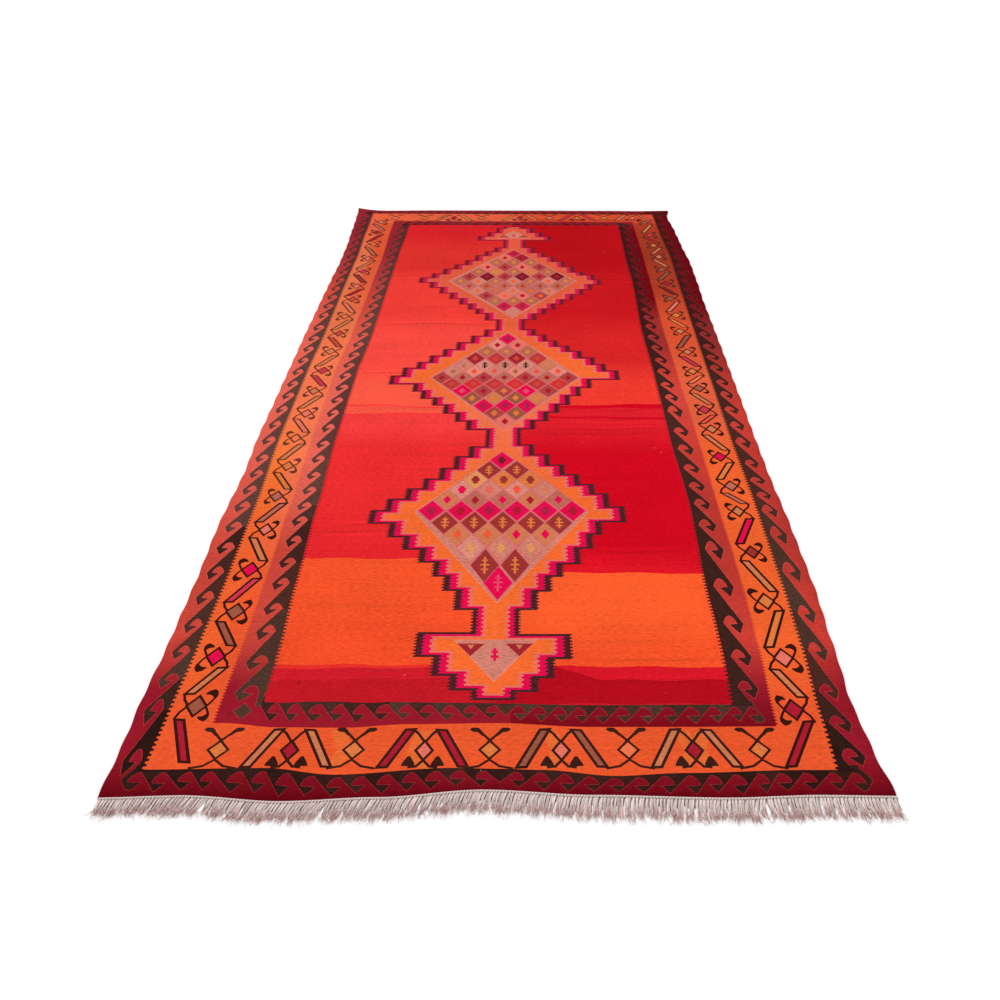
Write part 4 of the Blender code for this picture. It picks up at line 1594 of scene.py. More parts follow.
@dataclass(frozen=True)
class Pattern:
    """The rug's whole woven pattern, drawn from the borders inwards.

    Attributes:
        form: the cloth's form.
        seed: seed of the weaver's small irregularities.
    """
    form: ClothForm
    seed: int = 11

    def draw(self) -> Board:
        """Lay every motif in painter's order.

        Returns:
            The board.
        """
        board, dice = Board(), np.random.default_rng(self.seed)
        self.draw_ground(board)
        self.draw_hooks(board, OUTER_HOOKS, dice)
        self.draw_orange(board, dice)
        self.draw_inner(board, dice)
        self.draw_field(board, dice)
        return board

    def draw_ground(self, board: Board) -> None:
        """The outer red border: burgundy at the ends, faded madder along the sides.

        Args:
            board: the pattern.
        """
        inner, beyond_side, beyond_end = 0.70, 0.9, 1.8
        board.lay(self.form.outline(), RED_END)
        board.lay(box_shape(-beyond_side, -beyond_end, -inner, beyond_end), RED_OUTER_LEFT)
        board.lay(box_shape(inner, -beyond_end, beyond_side, beyond_end), RED_OUTER_RIGHT)

    def draw_hooks(self, board: Board, band: HookBand, dice: np.random.Generator) -> None:
        """Running hooks of one band: both sides, the near end with its corners, and the far end.

        Args:
            board: the pattern.
            band: what the hooks are drawn from.
            dice: the source of chance.
        """
        for wall in band.walls:
            board.lay(swollen(anticlockwise(np.array(wall)), band.wall_edging), band.outline)
        for name, tips, pitch, walnut, pink in zip(
                ("left", "right"), band.tips, band.pitches, band.walnuts, (PINK_LEFT, PINK_RIGHT)):
            SideHooks(Side(self.form, name), band.name, tips, band.tip, band.head, pitch, band.last,
                      walnut, pink).draw(board, dice)
        EndHooks(self.form, "near", band.name, band.near_turn, *band.crests, band.near_walnut,
                 band.outline, band.corners).draw(board, dice)
        for wall, dye in zip(band.walls, band.wall_walnut):
            board.lay(np.array(wall), dye)
        steps = np.arange(0.026, band.far_reach, 0.052)
        left, right = (tuple(way * steps + band.far_turn) for way in (-1.0, 1.0))
        EndHooks(self.form, "far", band.name, band.far_turn, left, right, band.far_walnut,
                 Dye.MADDER_DULL).draw(board, dice)

    def ring(self, join: str, near: Chart, far: Chart, pitch: float, depth: float) -> Points:
        """A closed join around the rug: combed at the sides and plain at the ends.

        Args:
            join: outer, inner or field.
            near, far: y of the join at each end.
            pitch, depth: its teeth.

        Returns:
            The join's corners, anticlockwise.
        """
        form, low, high = self.form, near.column("y"), far.column("y")
        flanks = {}
        for name in ("left", "right"):
            bottom, top = (low[0], high[0]) if name == "left" else (low[-1], high[-1])
            y = np.linspace(bottom, top, 160)
            x = form.side_line(f"{name}_{join}", y)
            flanks[name] = combed(np.stack([x, y], -1), pitch, depth)
        left, right = flanks["left"], flanks["right"]
        near_x = np.linspace(left[0, 0], right[0, 0], 90)[1:-1]
        far_x = np.linspace(right[-1, 0], left[-1, 0], 60)[1:-1]
        return np.concatenate([np.stack([near_x, near.eased("y", near_x)], -1), right,
                               np.stack([far_x, far.eased("y", far_x)], -1), left[::-1]])

    def draw_orange(self, board: Board, dice: np.random.Generator) -> None:
        """The orange border with its bars, lozenges and antennae.

        Args:
            board: the pattern.
            dice: the source of chance.
        """
        form, axis = self.form, 0.02
        near_y, far_y = -1.50, 1.53
        ring = self.ring("outer", form.near_outer, form.far_outer, pitch=.0125, depth=.0066)
        board.lay(ring, ORANGE_LEFT)
        board.lay(ring[ring[:, 0] > axis], ORANGE_RIGHT)
        y = np.linspace(near_y, far_y, 60)
        inner = form.side_line("left_inner", y)
        middle = (inner + form.side_line("left_outer", y)) / 2 + 0.004 * np.sin(y * 9)
        flank = np.concatenate([np.stack([inner, y], -1), np.stack([middle, y], -1)[::-1]])
        board.lay(flank, ORANGE_LEFT_INNER)
        for x, way in ((-.350, 1), (-.170, -1), (.118, 1), (.410, 1), (.452, -1)):
            board.lay(AMBER_PATCH.corners() * [way, 1] + [x, -1.585], Dye.AMBER)
        near, far = Ornament(), Ornament(outline=.0062, arm=.0056)
        lines = (Dye.WALNUT_LINE, Dye.WALNUT)
        EndOrnament(NEAR_CROSSES, NEAR_TENTS, -1.634, -1.531, near, lines).draw(board, dice)
        lines = (Dye.WALNUT_LINE, Dye.WALNUT_DUSK)
        EndOrnament(FAR_CROSSES, FAR_TENTS, 1.567, 1.655, far, lines).draw(board, dice)
        for low, high in (((-.676, -1.621), (-.725, -1.506)), ((.629, -1.630), (.700, -1.514))):
            near.bar(board, np.array(low), np.array(high), .029, Dye.CRIMSON, Dye.WALNUT_LINE)
        SideOrnament(Side(form, "left"), LEFT_ROWS, LINE_LEFT).draw(board, dice)
        SideOrnament(Side(form, "right"), RIGHT_ROWS, LINE_RIGHT).draw(board, dice)

    def draw_inner(self, board: Board, dice: np.random.Generator) -> None:
        """The inner red border and its running hooks.

        Args:
            board: the pattern.
            dice: the source of chance.
        """
        form, axis = self.form, 0.02
        ring = self.ring("inner", form.near_inner, form.far_inner, pitch=.0088, depth=.0046)
        board.lay(ring, RED_INNER_LEFT)
        board.lay(ring[ring[:, 0] > axis], RED_INNER_RIGHT)
        self.draw_hooks(board, INNER_HOOKS, dice)
        board.lay_outlined(diamond((-.587, -1.487), .021, .021), Dye.WALNUT_MOSS, Dye.OUTLINE_DEEP, .0015)

    def field_lot(self, board: Board, side: Side, row: dict, after: dict | None) -> None:
        """One colour lot on one side of the field, from its sloping join to the next one's.

        Args:
            board: the pattern.
            side: the side of the field.
            row: its start, rise and dye.
            after: the next lot, or None at the far end.
        """
        pitch, depth, past_axis = .0114, .0077, 0.01
        top, rise_top = (after["start"], after["rise"]) if after else (1.503, 0.0)
        low = max(row["start"], -1.462 if side.name == "left" else -1.467)
        y = np.linspace(top, low, max(3, int((top - low) / 0.012)))
        edge = side.line("field", y)
        share = np.linspace(0, 1, 14)[1:]

        def join(start_x: float, start_y: float, rise: float, station: float) -> Points:
            """A join from the border to the axis, with a small wave."""
            wave = 0.0025 * np.sin(share * 17 + station * 40) * (share < 1)
            return np.stack([start_x * (1 - share), start_y + rise * share + wave], -1)

        bottom = join(edge[-1], low, row["rise"], row["start"])
        upper = join(edge[0], top, rise_top, top)
        if after is None:
            upper[:, 1] = self.form.far_field.eased("y", upper[:, 0])
        axis = [(side.inward * past_axis, bottom[-1, 1]), (side.inward * past_axis, upper[-1, 1])]
        comb = combed(np.stack([edge, y], -1), pitch, depth)
        board.lay(np.concatenate([comb, bottom, axis, upper[::-1]]), row["dye"])

    def draw_field(self, board: Board, dice: np.random.Generator) -> None:
        """The field's colour lots, the medallions with their nets, and the finials.

        Args:
            board: the pattern.
            dice: the source of chance.
        """
        form = self.form
        ring = self.ring("field", form.near_field, form.far_field, pitch=.0114, depth=.0077)
        board.lay(ring, Dye.FIELD_PLUM)
        for name, chart in (("left", FIELD_LEFT), ("right", FIELD_RIGHT)):
            rows = chart.records()
            for row, after in zip(rows, rows[1:] + [None]):
                self.field_lot(board, Side(form, name), row, after)
        board.lay(np.array([(0.0, -1.402), (.245, -1.402), (.125, -1.358), (0.0, -1.358)]), Dye.RIGHT_PLUM)
        Spine(SPINE_LEFT, SPINE_RIGHT, -1.457, -1.458, SPINE_LAYERS).draw(board)
        for net in (NEAR_NET, MIDDLE_NET, FAR_NET):
            net.draw(board, dice)
        Finial(-1.2790, (-.015, -1.402), -.114, .084).draw(board)
        Finial(1.3270, (.004, 1.424), -.078, .084).draw(board)


# --- Weaving the pattern into cloth -----------------------------------------------------

@dataclass(frozen=True)
class Weaver:
    """Turns the drawn pattern into the cloth: top, underside and rounded rim.

    Attributes:
        form: the cloth's form.
        spacing: step of the loose points that carry the ripples.
        rim: how far the middle of the rim stands out.
        margin: share of the baked picture left free on each side.
    """
    form: ClothForm
    spacing: float = 0.032
    rim: float = 0.0008
    margin: float = 0.002

    def painted(self, board: Board, spots: Points) -> Points:
        """The dye on top at each spot of the plan.

        A spot is inside a shape where a line to its right crosses the shape's edges an odd number
        of times. Spots are sorted along the rug, so that each edge meets only those beside it.

        Args:
            board: the pattern, whose first shape is the cloth's outline.
            spots: plan points.

        Returns:
            The number of the topmost shape's lot over each spot, or -1 off the cloth.
        """
        order = np.argsort(spots[:, 1])
        x, y = spots[order].T
        dyes, cloth = np.full(len(spots), -1), np.zeros(len(spots), bool)
        for number, (start, dye) in enumerate(zip(board.shapes, board.dyes)):
            stop = np.roll(start, -1, axis=0)
            low = np.searchsorted(y, np.minimum(start[:, 1], stop[:, 1]))
            count = np.searchsorted(y, np.maximum(start[:, 1], stop[:, 1])) - low
            if not count.sum():
                continue
            edge = np.repeat(np.arange(len(start)), count)
            spot = np.arange(count.sum()) + np.repeat(low - np.cumsum(count) + count, count)
            share = (y[spot] - start[edge, 1]) / (stop[edge, 1] - start[edge, 1])
            right = start[edge, 0] + (stop[edge, 0] - start[edge, 0]) * share > x[spot]
            inside = np.nonzero(np.bincount(spot[right] - low.min()) % 2)[0] + low.min()
            dyes[inside] = dye
            if number == 0:
                cloth[inside] = True
        result = np.empty(len(spots), int)
        result[order] = np.where(cloth, dyes, -1)
        return result

    def triangles(self, board: Board) -> tuple[Points, Points, Points]:
        """Cut the plan along every join.

        Args:
            board: the pattern.

        Returns:
            Plan points, triangles, and each triangle's dye.
        """
        counts = [len(shape) for shape in board.shapes]
        first = np.concatenate([[0], np.cumsum(counts)[:-1]])
        after = np.arange(sum(counts)) + 1
        after[first + counts - 1] = first
        edges = np.stack([np.arange(sum(counts)), after], -1)
        loose = np.stack(np.meshgrid(np.arange(-0.83, 0.83, self.spacing),
                                     np.arange(-1.70, 1.71, self.spacing)), -1)
        loose[1::2, :, 0] += self.spacing / 2
        points = np.concatenate(board.shapes + [loose.reshape(-1, 2)])
        cut = delaunay_2d_cdt([Vector(point) for point in points], edges.tolist(), [], 0, 1e-5, False)
        plan, triangles = np.array([tuple(point) for point in cut[0]]), np.array(cut[2])
        dyes = self.painted(board, plan[triangles].mean(axis=1))
        triangles, dyes = triangles[dyes >= 0], dyes[dyes >= 0]
        used, triangles = np.unique(triangles, return_inverse=True)
        return plan[used], triangles.reshape(-1, 3), dyes

    def rim_edges(self, triangles: Points) -> Points:
        """Edges that belong to one triangle only.

        Args:
            triangles: the cut plan.

        Returns:
            The first and second point of each, with the cloth on the edge's left.
        """
        edges = np.concatenate([triangles[:, [0, 1]], triangles[:, [1, 2]], triangles[:, [2, 0]]])
        size = triangles.max() + 1
        codes = edges[:, 0] * size + edges[:, 1]
        return edges[~np.isin(codes, edges[:, 1] * size + edges[:, 0])]

    def weave(self, board: Board) -> bpy.types.Object:
        """Build the cloth.

        The top is the plan raised by the lift and the thickness, the underside is the same plan
        turned over, and the rim is a band of two rows whose middle stands out.

        Args:
            board: the pattern.

        Returns:
            The cloth with a dye, marl and fleck on every corner, and its own UV map.
        """
        plan, triangles, dyes = self.triangles(board)
        edges = self.rim_edges(triangles)
        log.info("plan: %d shapes, %d points, %d triangles", len(board.shapes), len(plan), len(triangles))
        count = len(plan)
        height = self.form.lift(plan[:, 0], plan[:, 1])
        place = plan + self.form.shift()
        out = np.zeros_like(plan)
        leg = plan[edges[:, 1]] - plan[edges[:, 0]]
        normal = np.stack([leg[:, 1], -leg[:, 0]], -1) / np.maximum(np.hypot(*leg.T), 1e-9)[:, None]
        for end in (0, 1):
            np.add.at(out, edges[:, end], normal)
        out /= np.maximum(np.hypot(*out.T), 1e-9)[:, None]
        top = np.column_stack([place, height + self.form.thickness])
        middle = np.column_stack([place + out * self.rim, height + self.form.thickness / 2])
        low = np.column_stack([place, height])
        rim_points = np.unique(edges)
        number = np.zeros(count, int)
        number[rim_points] = 2 * count + np.arange(len(rim_points))
        points = np.concatenate([top, low, middle[rim_points]])
        start, stop = edges.T
        rim = np.concatenate([
            np.stack([stop, start, number[start]], -1), np.stack([stop, number[start], number[stop]], -1),
            np.stack([number[stop], number[start], start + count], -1),
            np.stack([number[stop], start + count, stop + count], -1)])
        faces = np.concatenate([triangles, triangles[:, ::-1] + count, rim])
        cloth = make_mesh("kilim_cloth_woven", points, faces)
        rim_dyes = np.tile(self.edge_dyes(triangles, dyes, edges), 4)
        self.dress(cloth, points, faces, np.concatenate([dyes, dyes, rim_dyes]), list(board.lots))
        return cloth

    def edge_dyes(self, triangles: Points, dyes: Points, edges: Points) -> Points:
        """The dye of the triangle beside each rim edge.

        Args:
            triangles: the cut plan.
            dyes: each triangle's dye.
            edges: the rim's edges, in the direction in which their triangles have them.

        Returns:
            The dyes' numbers.
        """
        size = triangles.max() + 1
        codes = (triangles * size + np.roll(triangles, -1, axis=1)).ravel()
        order = np.argsort(codes)
        found = np.searchsorted(codes, edges[:, 0] * size + edges[:, 1], sorter=order)
        return np.repeat(dyes, 3)[order[found]]

    def dress(self, cloth: bpy.types.Object, points: Points, faces: Points, dyes: Points,
              lots: "list[Yarn | Abrash]") -> None:
        """Write each corner's dye and marl, its fleck, and a plan UV map.

        Args:
            cloth: the cloth.
            points, faces: its mesh.
            dyes: the number of each face's lot.
            lots: the lots. An abrash is read at each corner's own place along the rug.
        """
        along, number = points[faces.ravel(), 1] - self.form.shift()[1], np.repeat(dyes, 3)
        wool = np.zeros((len(number), 5), np.float32)
        for index, lot in enumerate(lots):
            chosen = number == index
            if isinstance(lot, Abrash):
                wool[chosen] = lot.along(along[chosen])
            else:
                wool[chosen] = [*srgb_to_linear(lot.colour), lot.marl, lot.fleck]
        colour = cloth.data.color_attributes.new("dye", "FLOAT_COLOR", "CORNER")
        colour.data.foreach_set("color", wool[:, :4].ravel())
        fleck = cloth.data.attributes.new("fleck", "FLOAT", "CORNER")
        fleck.data.foreach_set("value", wool[:, 4].copy())
        bake_map(cloth, points, faces, self.margin)


# --- Finishes ---------------------------------------------------------------------------

class Graph:
    """Short ways to add and join the nodes of one tree."""

    def __init__(self, tree: bpy.types.NodeTree) -> None:
        """Keep the tree that the nodes go into."""
        self.tree = tree

    def add(self, kind: str, inputs: dict | None = None, **settings: object) -> bpy.types.Node:
        """Add a node.

        Args:
            kind: the node's type without the leading ShaderNode.
            inputs: values or outputs for its sockets, by name or number.
            settings: values of its own properties.

        Returns:
            The node.
        """
        node = self.tree.nodes.new("ShaderNode" + kind)
        for name, value in settings.items():
            setattr(node, name, value)
        for name, value in (inputs or {}).items():
            self.put(value, node.inputs[name])
        return node

    def put(self, value: object, socket: bpy.types.NodeSocket) -> None:
        """Link or set a socket.

        Args:
            value: an output to link, or a plain value to set.
            socket: the input.
        """
        if isinstance(value, bpy.types.NodeSocket):
            self.tree.links.new(value, socket)
        else:
            socket.default_value = value

    def math(self, operation: str, *values: object) -> bpy.types.NodeSocket:
        """The result of a Math node on up to three values or outputs."""
        return self.add("Math", dict(enumerate(values)), operation=operation).outputs[0]

    def noise(self, place: bpy.types.NodeSocket, across: float, along: float, detail: float,
              up: float = 0.0) -> bpy.types.NodeSocket:
        """Noise that is stretched by a scale for each axis.

        Args:
            place: coordinates.
            across, along, up: the scales of X, Y and Z.
            detail: how many finer noises are added.

        Returns:
            Values from 0 to 1.
        """
        spot = self.add("VectorMath", {0: place, 1: (across, along, up)}, operation="MULTIPLY").outputs[0]
        node = self.add("TexNoise", {"Vector": spot, "Scale": 1.0, "Detail": detail, "Roughness": 0.6})
        return node.outputs["Fac"]

    def ramp(self, value: bpy.types.NodeSocket, low: float, high: float, to_low: float = 0.0,
             to_high: float = 1.0) -> bpy.types.NodeSocket:
        """A value carried from one range to another and held at its ends."""
        node = self.add("MapRange", {0: value, 1: low, 2: high, 3: to_low, 4: to_high})
        return node.outputs[0]

    def blend(self, share: object, first: object, second: object, kind: str = "MIX") -> bpy.types.NodeSocket:
        """Two colours mixed by a share."""
        node = self.add("Mix", {"Factor": share, 6: first, 7: second}, data_type="RGBA", blend_type=kind)
        return node.outputs[2]


class Finish(Graph):
    """The graph of one new material, with its shader and the object's coordinates at hand."""

    def __init__(self, name: str, specular: float) -> None:
        """Start the material.

        Args:
            name: the material's name.
            specular: the shader's specular level.
        """
        self.material = bpy.data.materials.new(name)
        self.material.use_nodes = True
        super().__init__(self.material.node_tree)
        self.shader = self.tree.nodes["Principled BSDF"]
        self.place = self.add("TexCoord").outputs["Object"]
        self.put(specular, self.shader.inputs["Specular IOR Level"])

    def tinted(self, colour: bpy.types.NodeSocket, tone: bpy.types.NodeSocket) -> bpy.types.NodeSocket:
        """A colour made darker or lighter by a tone around 1."""
        return self.add("VectorMath", {0: colour, "Scale": tone}, operation="SCALE").outputs[0]

    def raised(self, height: bpy.types.NodeSocket, distance: float, strength: float) -> None:
        """Bend the shader's normal by a height."""
        bump = self.add("Bump", {"Height": height, "Distance": distance, "Strength": strength})
        self.put(bump.outputs[0], self.shader.inputs["Normal"])

    def done(self, colour: bpy.types.NodeSocket, roughness: object) -> bpy.types.Material:
        """The material, once its shader has a colour and a roughness.

        Args:
            colour: the base colour.
            roughness: an output or a plain value.

        Returns:
            The material.
        """
        self.put(colour, self.shader.inputs["Base Color"])
        self.put(roughness, self.shader.inputs["Roughness"])
        return self.material


def make_group(name: str, inputs: dict[str, str], outputs: Sequence[str]) -> tuple[Graph, dict, dict]:
    """Start a shader node group.

    Args:
        name: the group's name.
        inputs: socket types by name.
        outputs: names of its results, which are all values.

    Returns:
        Its graph, its input sockets by name, and the sockets to link its results to.
    """
    tree = bpy.data.node_groups.new(name, "ShaderNodeTree")
    for way, sockets in (("INPUT", inputs), ("OUTPUT", dict.fromkeys(outputs, "Float"))):
        for socket, kind in sockets.items():
            tree.interface.new_socket(name=socket, in_out=way, socket_type="NodeSocket" + kind)
    start, stop = tree.nodes.new("NodeGroupInput"), tree.nodes.new("NodeGroupOutput")
    return Graph(tree), dict(start.outputs.items()), dict(stop.inputs.items())


def weft_faced_weave() -> bpy.types.NodeTree:
    """The weave group: ribs over the warp, staggered from row to row, and the dents between them, with a
    mask for painted shade in the dents.

    Height is a cosine of the place across, moved by half a rib on every second row, times a share,
    plus a cosine of the place along, times the rest. The second output is 1 where the height is lowest:
    the mask of the painted shade in the dents and of the painted light on the ribs.

    Returns:
        The group, with the outputs Height and Dent.
    """
    wander_by, rib_share, rib_power, dent_from, dent_to = 0.006, 0.55, 0.6, 0.42, 0.05
    sockets = {"Vector": "Vector", "Warp": "Float", "Weft": "Float"}
    graph, given, result = make_group("weft_faced_weave", sockets, ("Height", "DentShade"))
    wander = graph.noise(given["Vector"], 9.0, 9.0, 1.0)
    apart = graph.add("SeparateXYZ", {0: given["Vector"]})
    across = graph.math("ADD", apart.outputs["X"], graph.math("MULTIPLY", wander, wander_by))
    along = graph.math("ADD", apart.outputs["Y"], graph.math("MULTIPLY", wander, wander_by))
    row = graph.math("DIVIDE", along, given["Weft"])
    odd = graph.math("MULTIPLY", graph.math("FLOORED_MODULO", graph.math("FLOOR", row), 2.0), 0.5)
    rib = graph.math("ADD", graph.math("DIVIDE", across, given["Warp"]), odd)
    waves = [graph.math("COSINE", graph.math("MULTIPLY", part, math.tau)) for part in (rib, row)]
    rib_hump, row_hump = (graph.math("MULTIPLY_ADD", wave, 0.5, 0.5) for wave in waves)
    rib_height = graph.math("MULTIPLY", graph.math("POWER", rib_hump, rib_power), rib_share)
    height = graph.math("ADD", rib_height, graph.math("MULTIPLY", row_hump, 1 - rib_share))
    graph.put(height, result["Height"])
    # Mask of the painted shade in the dents, 0 on the ribs.
    graph.put(graph.ramp(height, dent_from, dent_to), result["DentShade"])
    return graph.tree


# Painted shade and light of the folds across the cloth: where each lies along the rug, its ends across, and
# its strength.
CREASE_SHADING = Chart("station left right strength", (
    (.864, -.55, -.30, .12), (.846, .36, .74, -.20), (.434, -.55, -.10, .14), (.036, -.56, -.38, .14),
    (-.205, -.55, -.20, .12), (-.212, .10, .55, .08), (-.282, .16, .56, -.11), (-.330, .10, .56, .11),
    (-.372, .14, .50, -.08), (-.822, -.50, -.30, .15), (-.862, -.56, -.34, -.12), (-.930, .24, .52, .12),
    (-1.310, .22, .56, .08), (-1.374, .20, .56, .07)))


def lint_stains_and_crease_shading() -> bpy.types.NodeTree:
    """The group of white lint, small dark stains, and painted shade and light along the folds across the
    cloth.

    Lint and Stain are masks, from random spots of a cell pattern of which few cells are chosen.
    The third output is painted shade and light of the folds: the sum of one sine over each crease of the
    chart, darker on one side and lighter on the other, faded out at its ends.

    Returns:
        The group, with the outputs Lint, Stain and the painted shade of the folds.
    """
    graph, given, result = make_group("lint_stains_and_crease_shading", {"Vector": "Vector"}, ("Lint", "Stain", "CreaseShade"))
    place = given["Vector"]
    for name, scale, limit, core, edge in (("Lint", (52.0, 24.0, 0.0), 0.80, 0.025, 0.060),
                                           ("Stain", (6.5, 7.5, 0.0), 0.62, 0.014, 0.036)):
        spot = graph.add("VectorMath", {0: place, 1: scale}, operation="MULTIPLY").outputs[0]
        cells = graph.add("TexVoronoi", {"Vector": spot, "Scale": 1.0})
        chosen = graph.add("SeparateColor", {0: cells.outputs["Color"]}).outputs[0]
        chosen = graph.math("GREATER_THAN", chosen, limit)
        round_spot = graph.ramp(cells.outputs["Distance"], core, edge, 1.0, 0.0)
        graph.put(graph.math("MULTIPLY", round_spot, chosen), result[name])
    # Painted shade and light of the folds, one sine for each row of the chart.
    apart = graph.add("SeparateXYZ", {0: place})
    wander, half_crease, fade_out, fade_in = 0.035, 0.014, 0.03, 0.08
    bend = graph.math("MULTIPLY", graph.noise(place, 4.0, 1.0, 2.0), wander)
    along = graph.math("ADD", graph.math("SUBTRACT", apart.outputs["Y"], wander / 2), bend)
    total: object = 0.0
    for row in CREASE_SHADING.records():
        start, stop = row["station"] - half_crease, row["station"] + half_crease
        wave = graph.math("SINE", graph.ramp(along, start, stop, -math.pi, math.pi))
        left = graph.ramp(apart.outputs["X"], row["left"] - fade_out, row["left"] + fade_in)
        right = graph.ramp(apart.outputs["X"], row["right"] - fade_in, row["right"] + fade_out, 1.0, 0.0)
        wave = graph.math("MULTIPLY", wave, graph.math("MULTIPLY", left, right))
        total = graph.math("MULTIPLY_ADD", wave, row["strength"], total)
    graph.put(total, result["CreaseShade"])
    return graph.tree


@dataclass(frozen=True)
class WovenWool:
    """The cloth's finish: dyed weft wool, streaked row by row, over a hidden warp.

    Attributes:
        warp, weft: pitch of the ribs across the rug and of the rows along it.
        tones: noises that make the wool darker and lighter: rows, bands of rows, clouds and grain.
        speckle: how far the fleck of the wool changes its tone.
        grey: colour of the grey fibre in marled wool, and grey_share how much of it shows.
        stain, lint: colours of the spots, and stain_share and lint_share how much of them shows.
        rib_highlight, dent_shade: tones of the ribs and of the dents between them, a painted highlight on
            the ribs and painted shade in the dents.
        roughness: least and greatest roughness.
        bump, bump_strength: height of the weave, and how much of it shows.
    """
    warp: float = 0.0031
    weft: float = 0.0013
    tones: Chart = Chart("across along detail low high tone", (
        (2.2, 160.0, 2.5, 0.30, 0.70, 0.05), (0.9, 34.0, 2.0, 0.30, 0.70, 0.03),
        (5.0, 5.0, 3.0, 0.30, 0.70, 0.06), (75.0, 190.0, 3.0, 0.25, 0.75, 0.13)))
    speckle: float = 0.42
    grey: tuple[int, int, int] = (132, 122, 124)
    grey_share: float = 0.62
    stain: tuple[float, ...] = (0.03, 0.012, 0.01, 1.0)
    stain_share: float = 0.55
    lint: tuple[float, ...] = (0.80, 0.62, 0.58, 1.0)
    lint_share: float = 0.60
    # Painted highlight on the ribs and painted shade in the dents.
    rib_highlight: float = 1.10
    dent_shade: float = 0.78
    roughness: tuple[float, float] = (0.84, 0.96)
    bump: float = 0.0006
    bump_strength: float = 0.8

    def material(self, weave: bpy.types.NodeTree, wear_and_crease_shade: bpy.types.NodeTree) -> bpy.types.Material:
        """The wool with its weave, streaks, marl, flecks, lint and stains, and painted shade and light
        on the weave's ribs and along the folds.

        Args:
            weave: the weave group.
            wear_and_crease_shade: the group of lint, stains and painted shade of the folds.

        Returns:
            The material.
        """
        graph = Finish("kilim_cloth_wool", 0.0)
        place = graph.place
        dye = graph.add("Attribute", attribute_name="dye")
        fleck = graph.add("Attribute", attribute_name="fleck").outputs["Fac"]
        woven = graph.add("Group", {"Vector": place, "Warp": self.warp, "Weft": self.weft}, node_tree=weave)
        worn_and_shaded = graph.add("Group", {"Vector": place}, node_tree=wear_and_crease_shade)
        # The tone starts from the painted shade and light of the folds.
        tone = worn_and_shaded.outputs["CreaseShade"]
        for row in self.tones.records():
            noise = graph.noise(place, row["across"], row["along"], row["detail"])
            part = graph.ramp(noise, row["low"], row["high"], -row["tone"], row["tone"])
            tone = graph.math("ADD", tone, part)
        yarn = graph.noise(place, 70.0, 420.0, 2.0)
        speck = graph.math("MULTIPLY", graph.ramp(yarn, 0.25, 0.75, -self.speckle, self.speckle), fleck)
        tone = graph.math("ADD", graph.math("ADD", tone, speck), 1.0)
        # Painted light on the ribs and painted shade in the dents between them.
        rib_and_dent_shading = graph.ramp(woven.outputs["DentShade"], 0.0, 1.0, self.rib_highlight, self.dent_shade)
        tone = graph.math("MULTIPLY", tone, rib_and_dent_shading)
        marled = graph.math("MULTIPLY", graph.ramp(graph.noise(place, 95.0, 330.0, 2.0), 0.42, 0.60),
                            dye.outputs["Alpha"])
        grey = (*srgb_to_linear(self.grey), 1.0)
        wool = graph.blend(graph.math("MULTIPLY", marled, self.grey_share), dye.outputs["Color"], grey)
        wool = graph.tinted(wool, tone)
        for name, share, colour in (("Stain", self.stain_share, self.stain),
                                    ("Lint", self.lint_share, self.lint)):
            wool = graph.blend(graph.math("MULTIPLY", worn_and_shaded.outputs[name], share), wool, colour)
        graph.raised(woven.outputs["Height"], self.bump, self.bump_strength)
        return graph.done(wool, graph.ramp(yarn, 0.3, 0.7, *self.roughness))


@dataclass(frozen=True)
class FringeYarn:
    """The fringe's finish: undyed warp wool, near white at the root and pale pink at the frayed ends.

    Attributes:
        root, tip: colours near the cloth and at the frayed ends.
        shadow: colour of the dark yarns between the bundles, a painted shadow; strands of lower own tone are
            mixed towards it.
        fibre: scale of the fibres across, and fibre_along the share of it along them.
        dark, light: tones of the fibres.
        roughness: least and greatest roughness.
        bump, bump_strength: height of the fibres, and how much of it shows.
    """
    root: tuple[int, int, int] = (250, 232, 228)
    tip: tuple[int, int, int] = (226, 182, 176)
    shadow: tuple[int, int, int] = (92, 58, 52)
    fibre: float = 900.0
    fibre_along: float = 0.35
    dark: float = 0.84
    light: float = 1.08
    roughness: tuple[float, float] = (0.82, 0.95)
    bump: float = 0.0004
    bump_strength: float = 0.6

    def material(self) -> bpy.types.Material:
        """The yarn, coloured by each strand's own tone and by its place along the strand.

        Returns:
            The material.
        """
        graph = Finish("fringe_near_wool", 0.15)
        strand = graph.add("Attribute", attribute_name="strand")
        apart = graph.add("SeparateColor", {0: strand.outputs["Color"]})
        along, own = apart.outputs[0], apart.outputs[1]
        root, tip, shadow = ((*srgb_to_linear(colour), 1.0) for colour in (self.root, self.tip, self.shadow))
        base = graph.blend(graph.ramp(along, 0.30, 0.85), root, tip)
        # Painted shadow: a strand's own tone below 0.9 mixes it towards the shadow colour.
        base = graph.blend(graph.ramp(own, 0.0, 0.9), shadow, base)
        fibres = graph.noise(graph.place, self.fibre, self.fibre * self.fibre_along, 2.0, self.fibre)
        graph.raised(fibres, self.bump, self.bump_strength)
        toned = graph.tinted(base, graph.ramp(fibres, 0.25, 0.75, self.dark, self.light))
        return graph.done(toned, graph.ramp(fibres, 0.3, 0.7, *self.roughness))


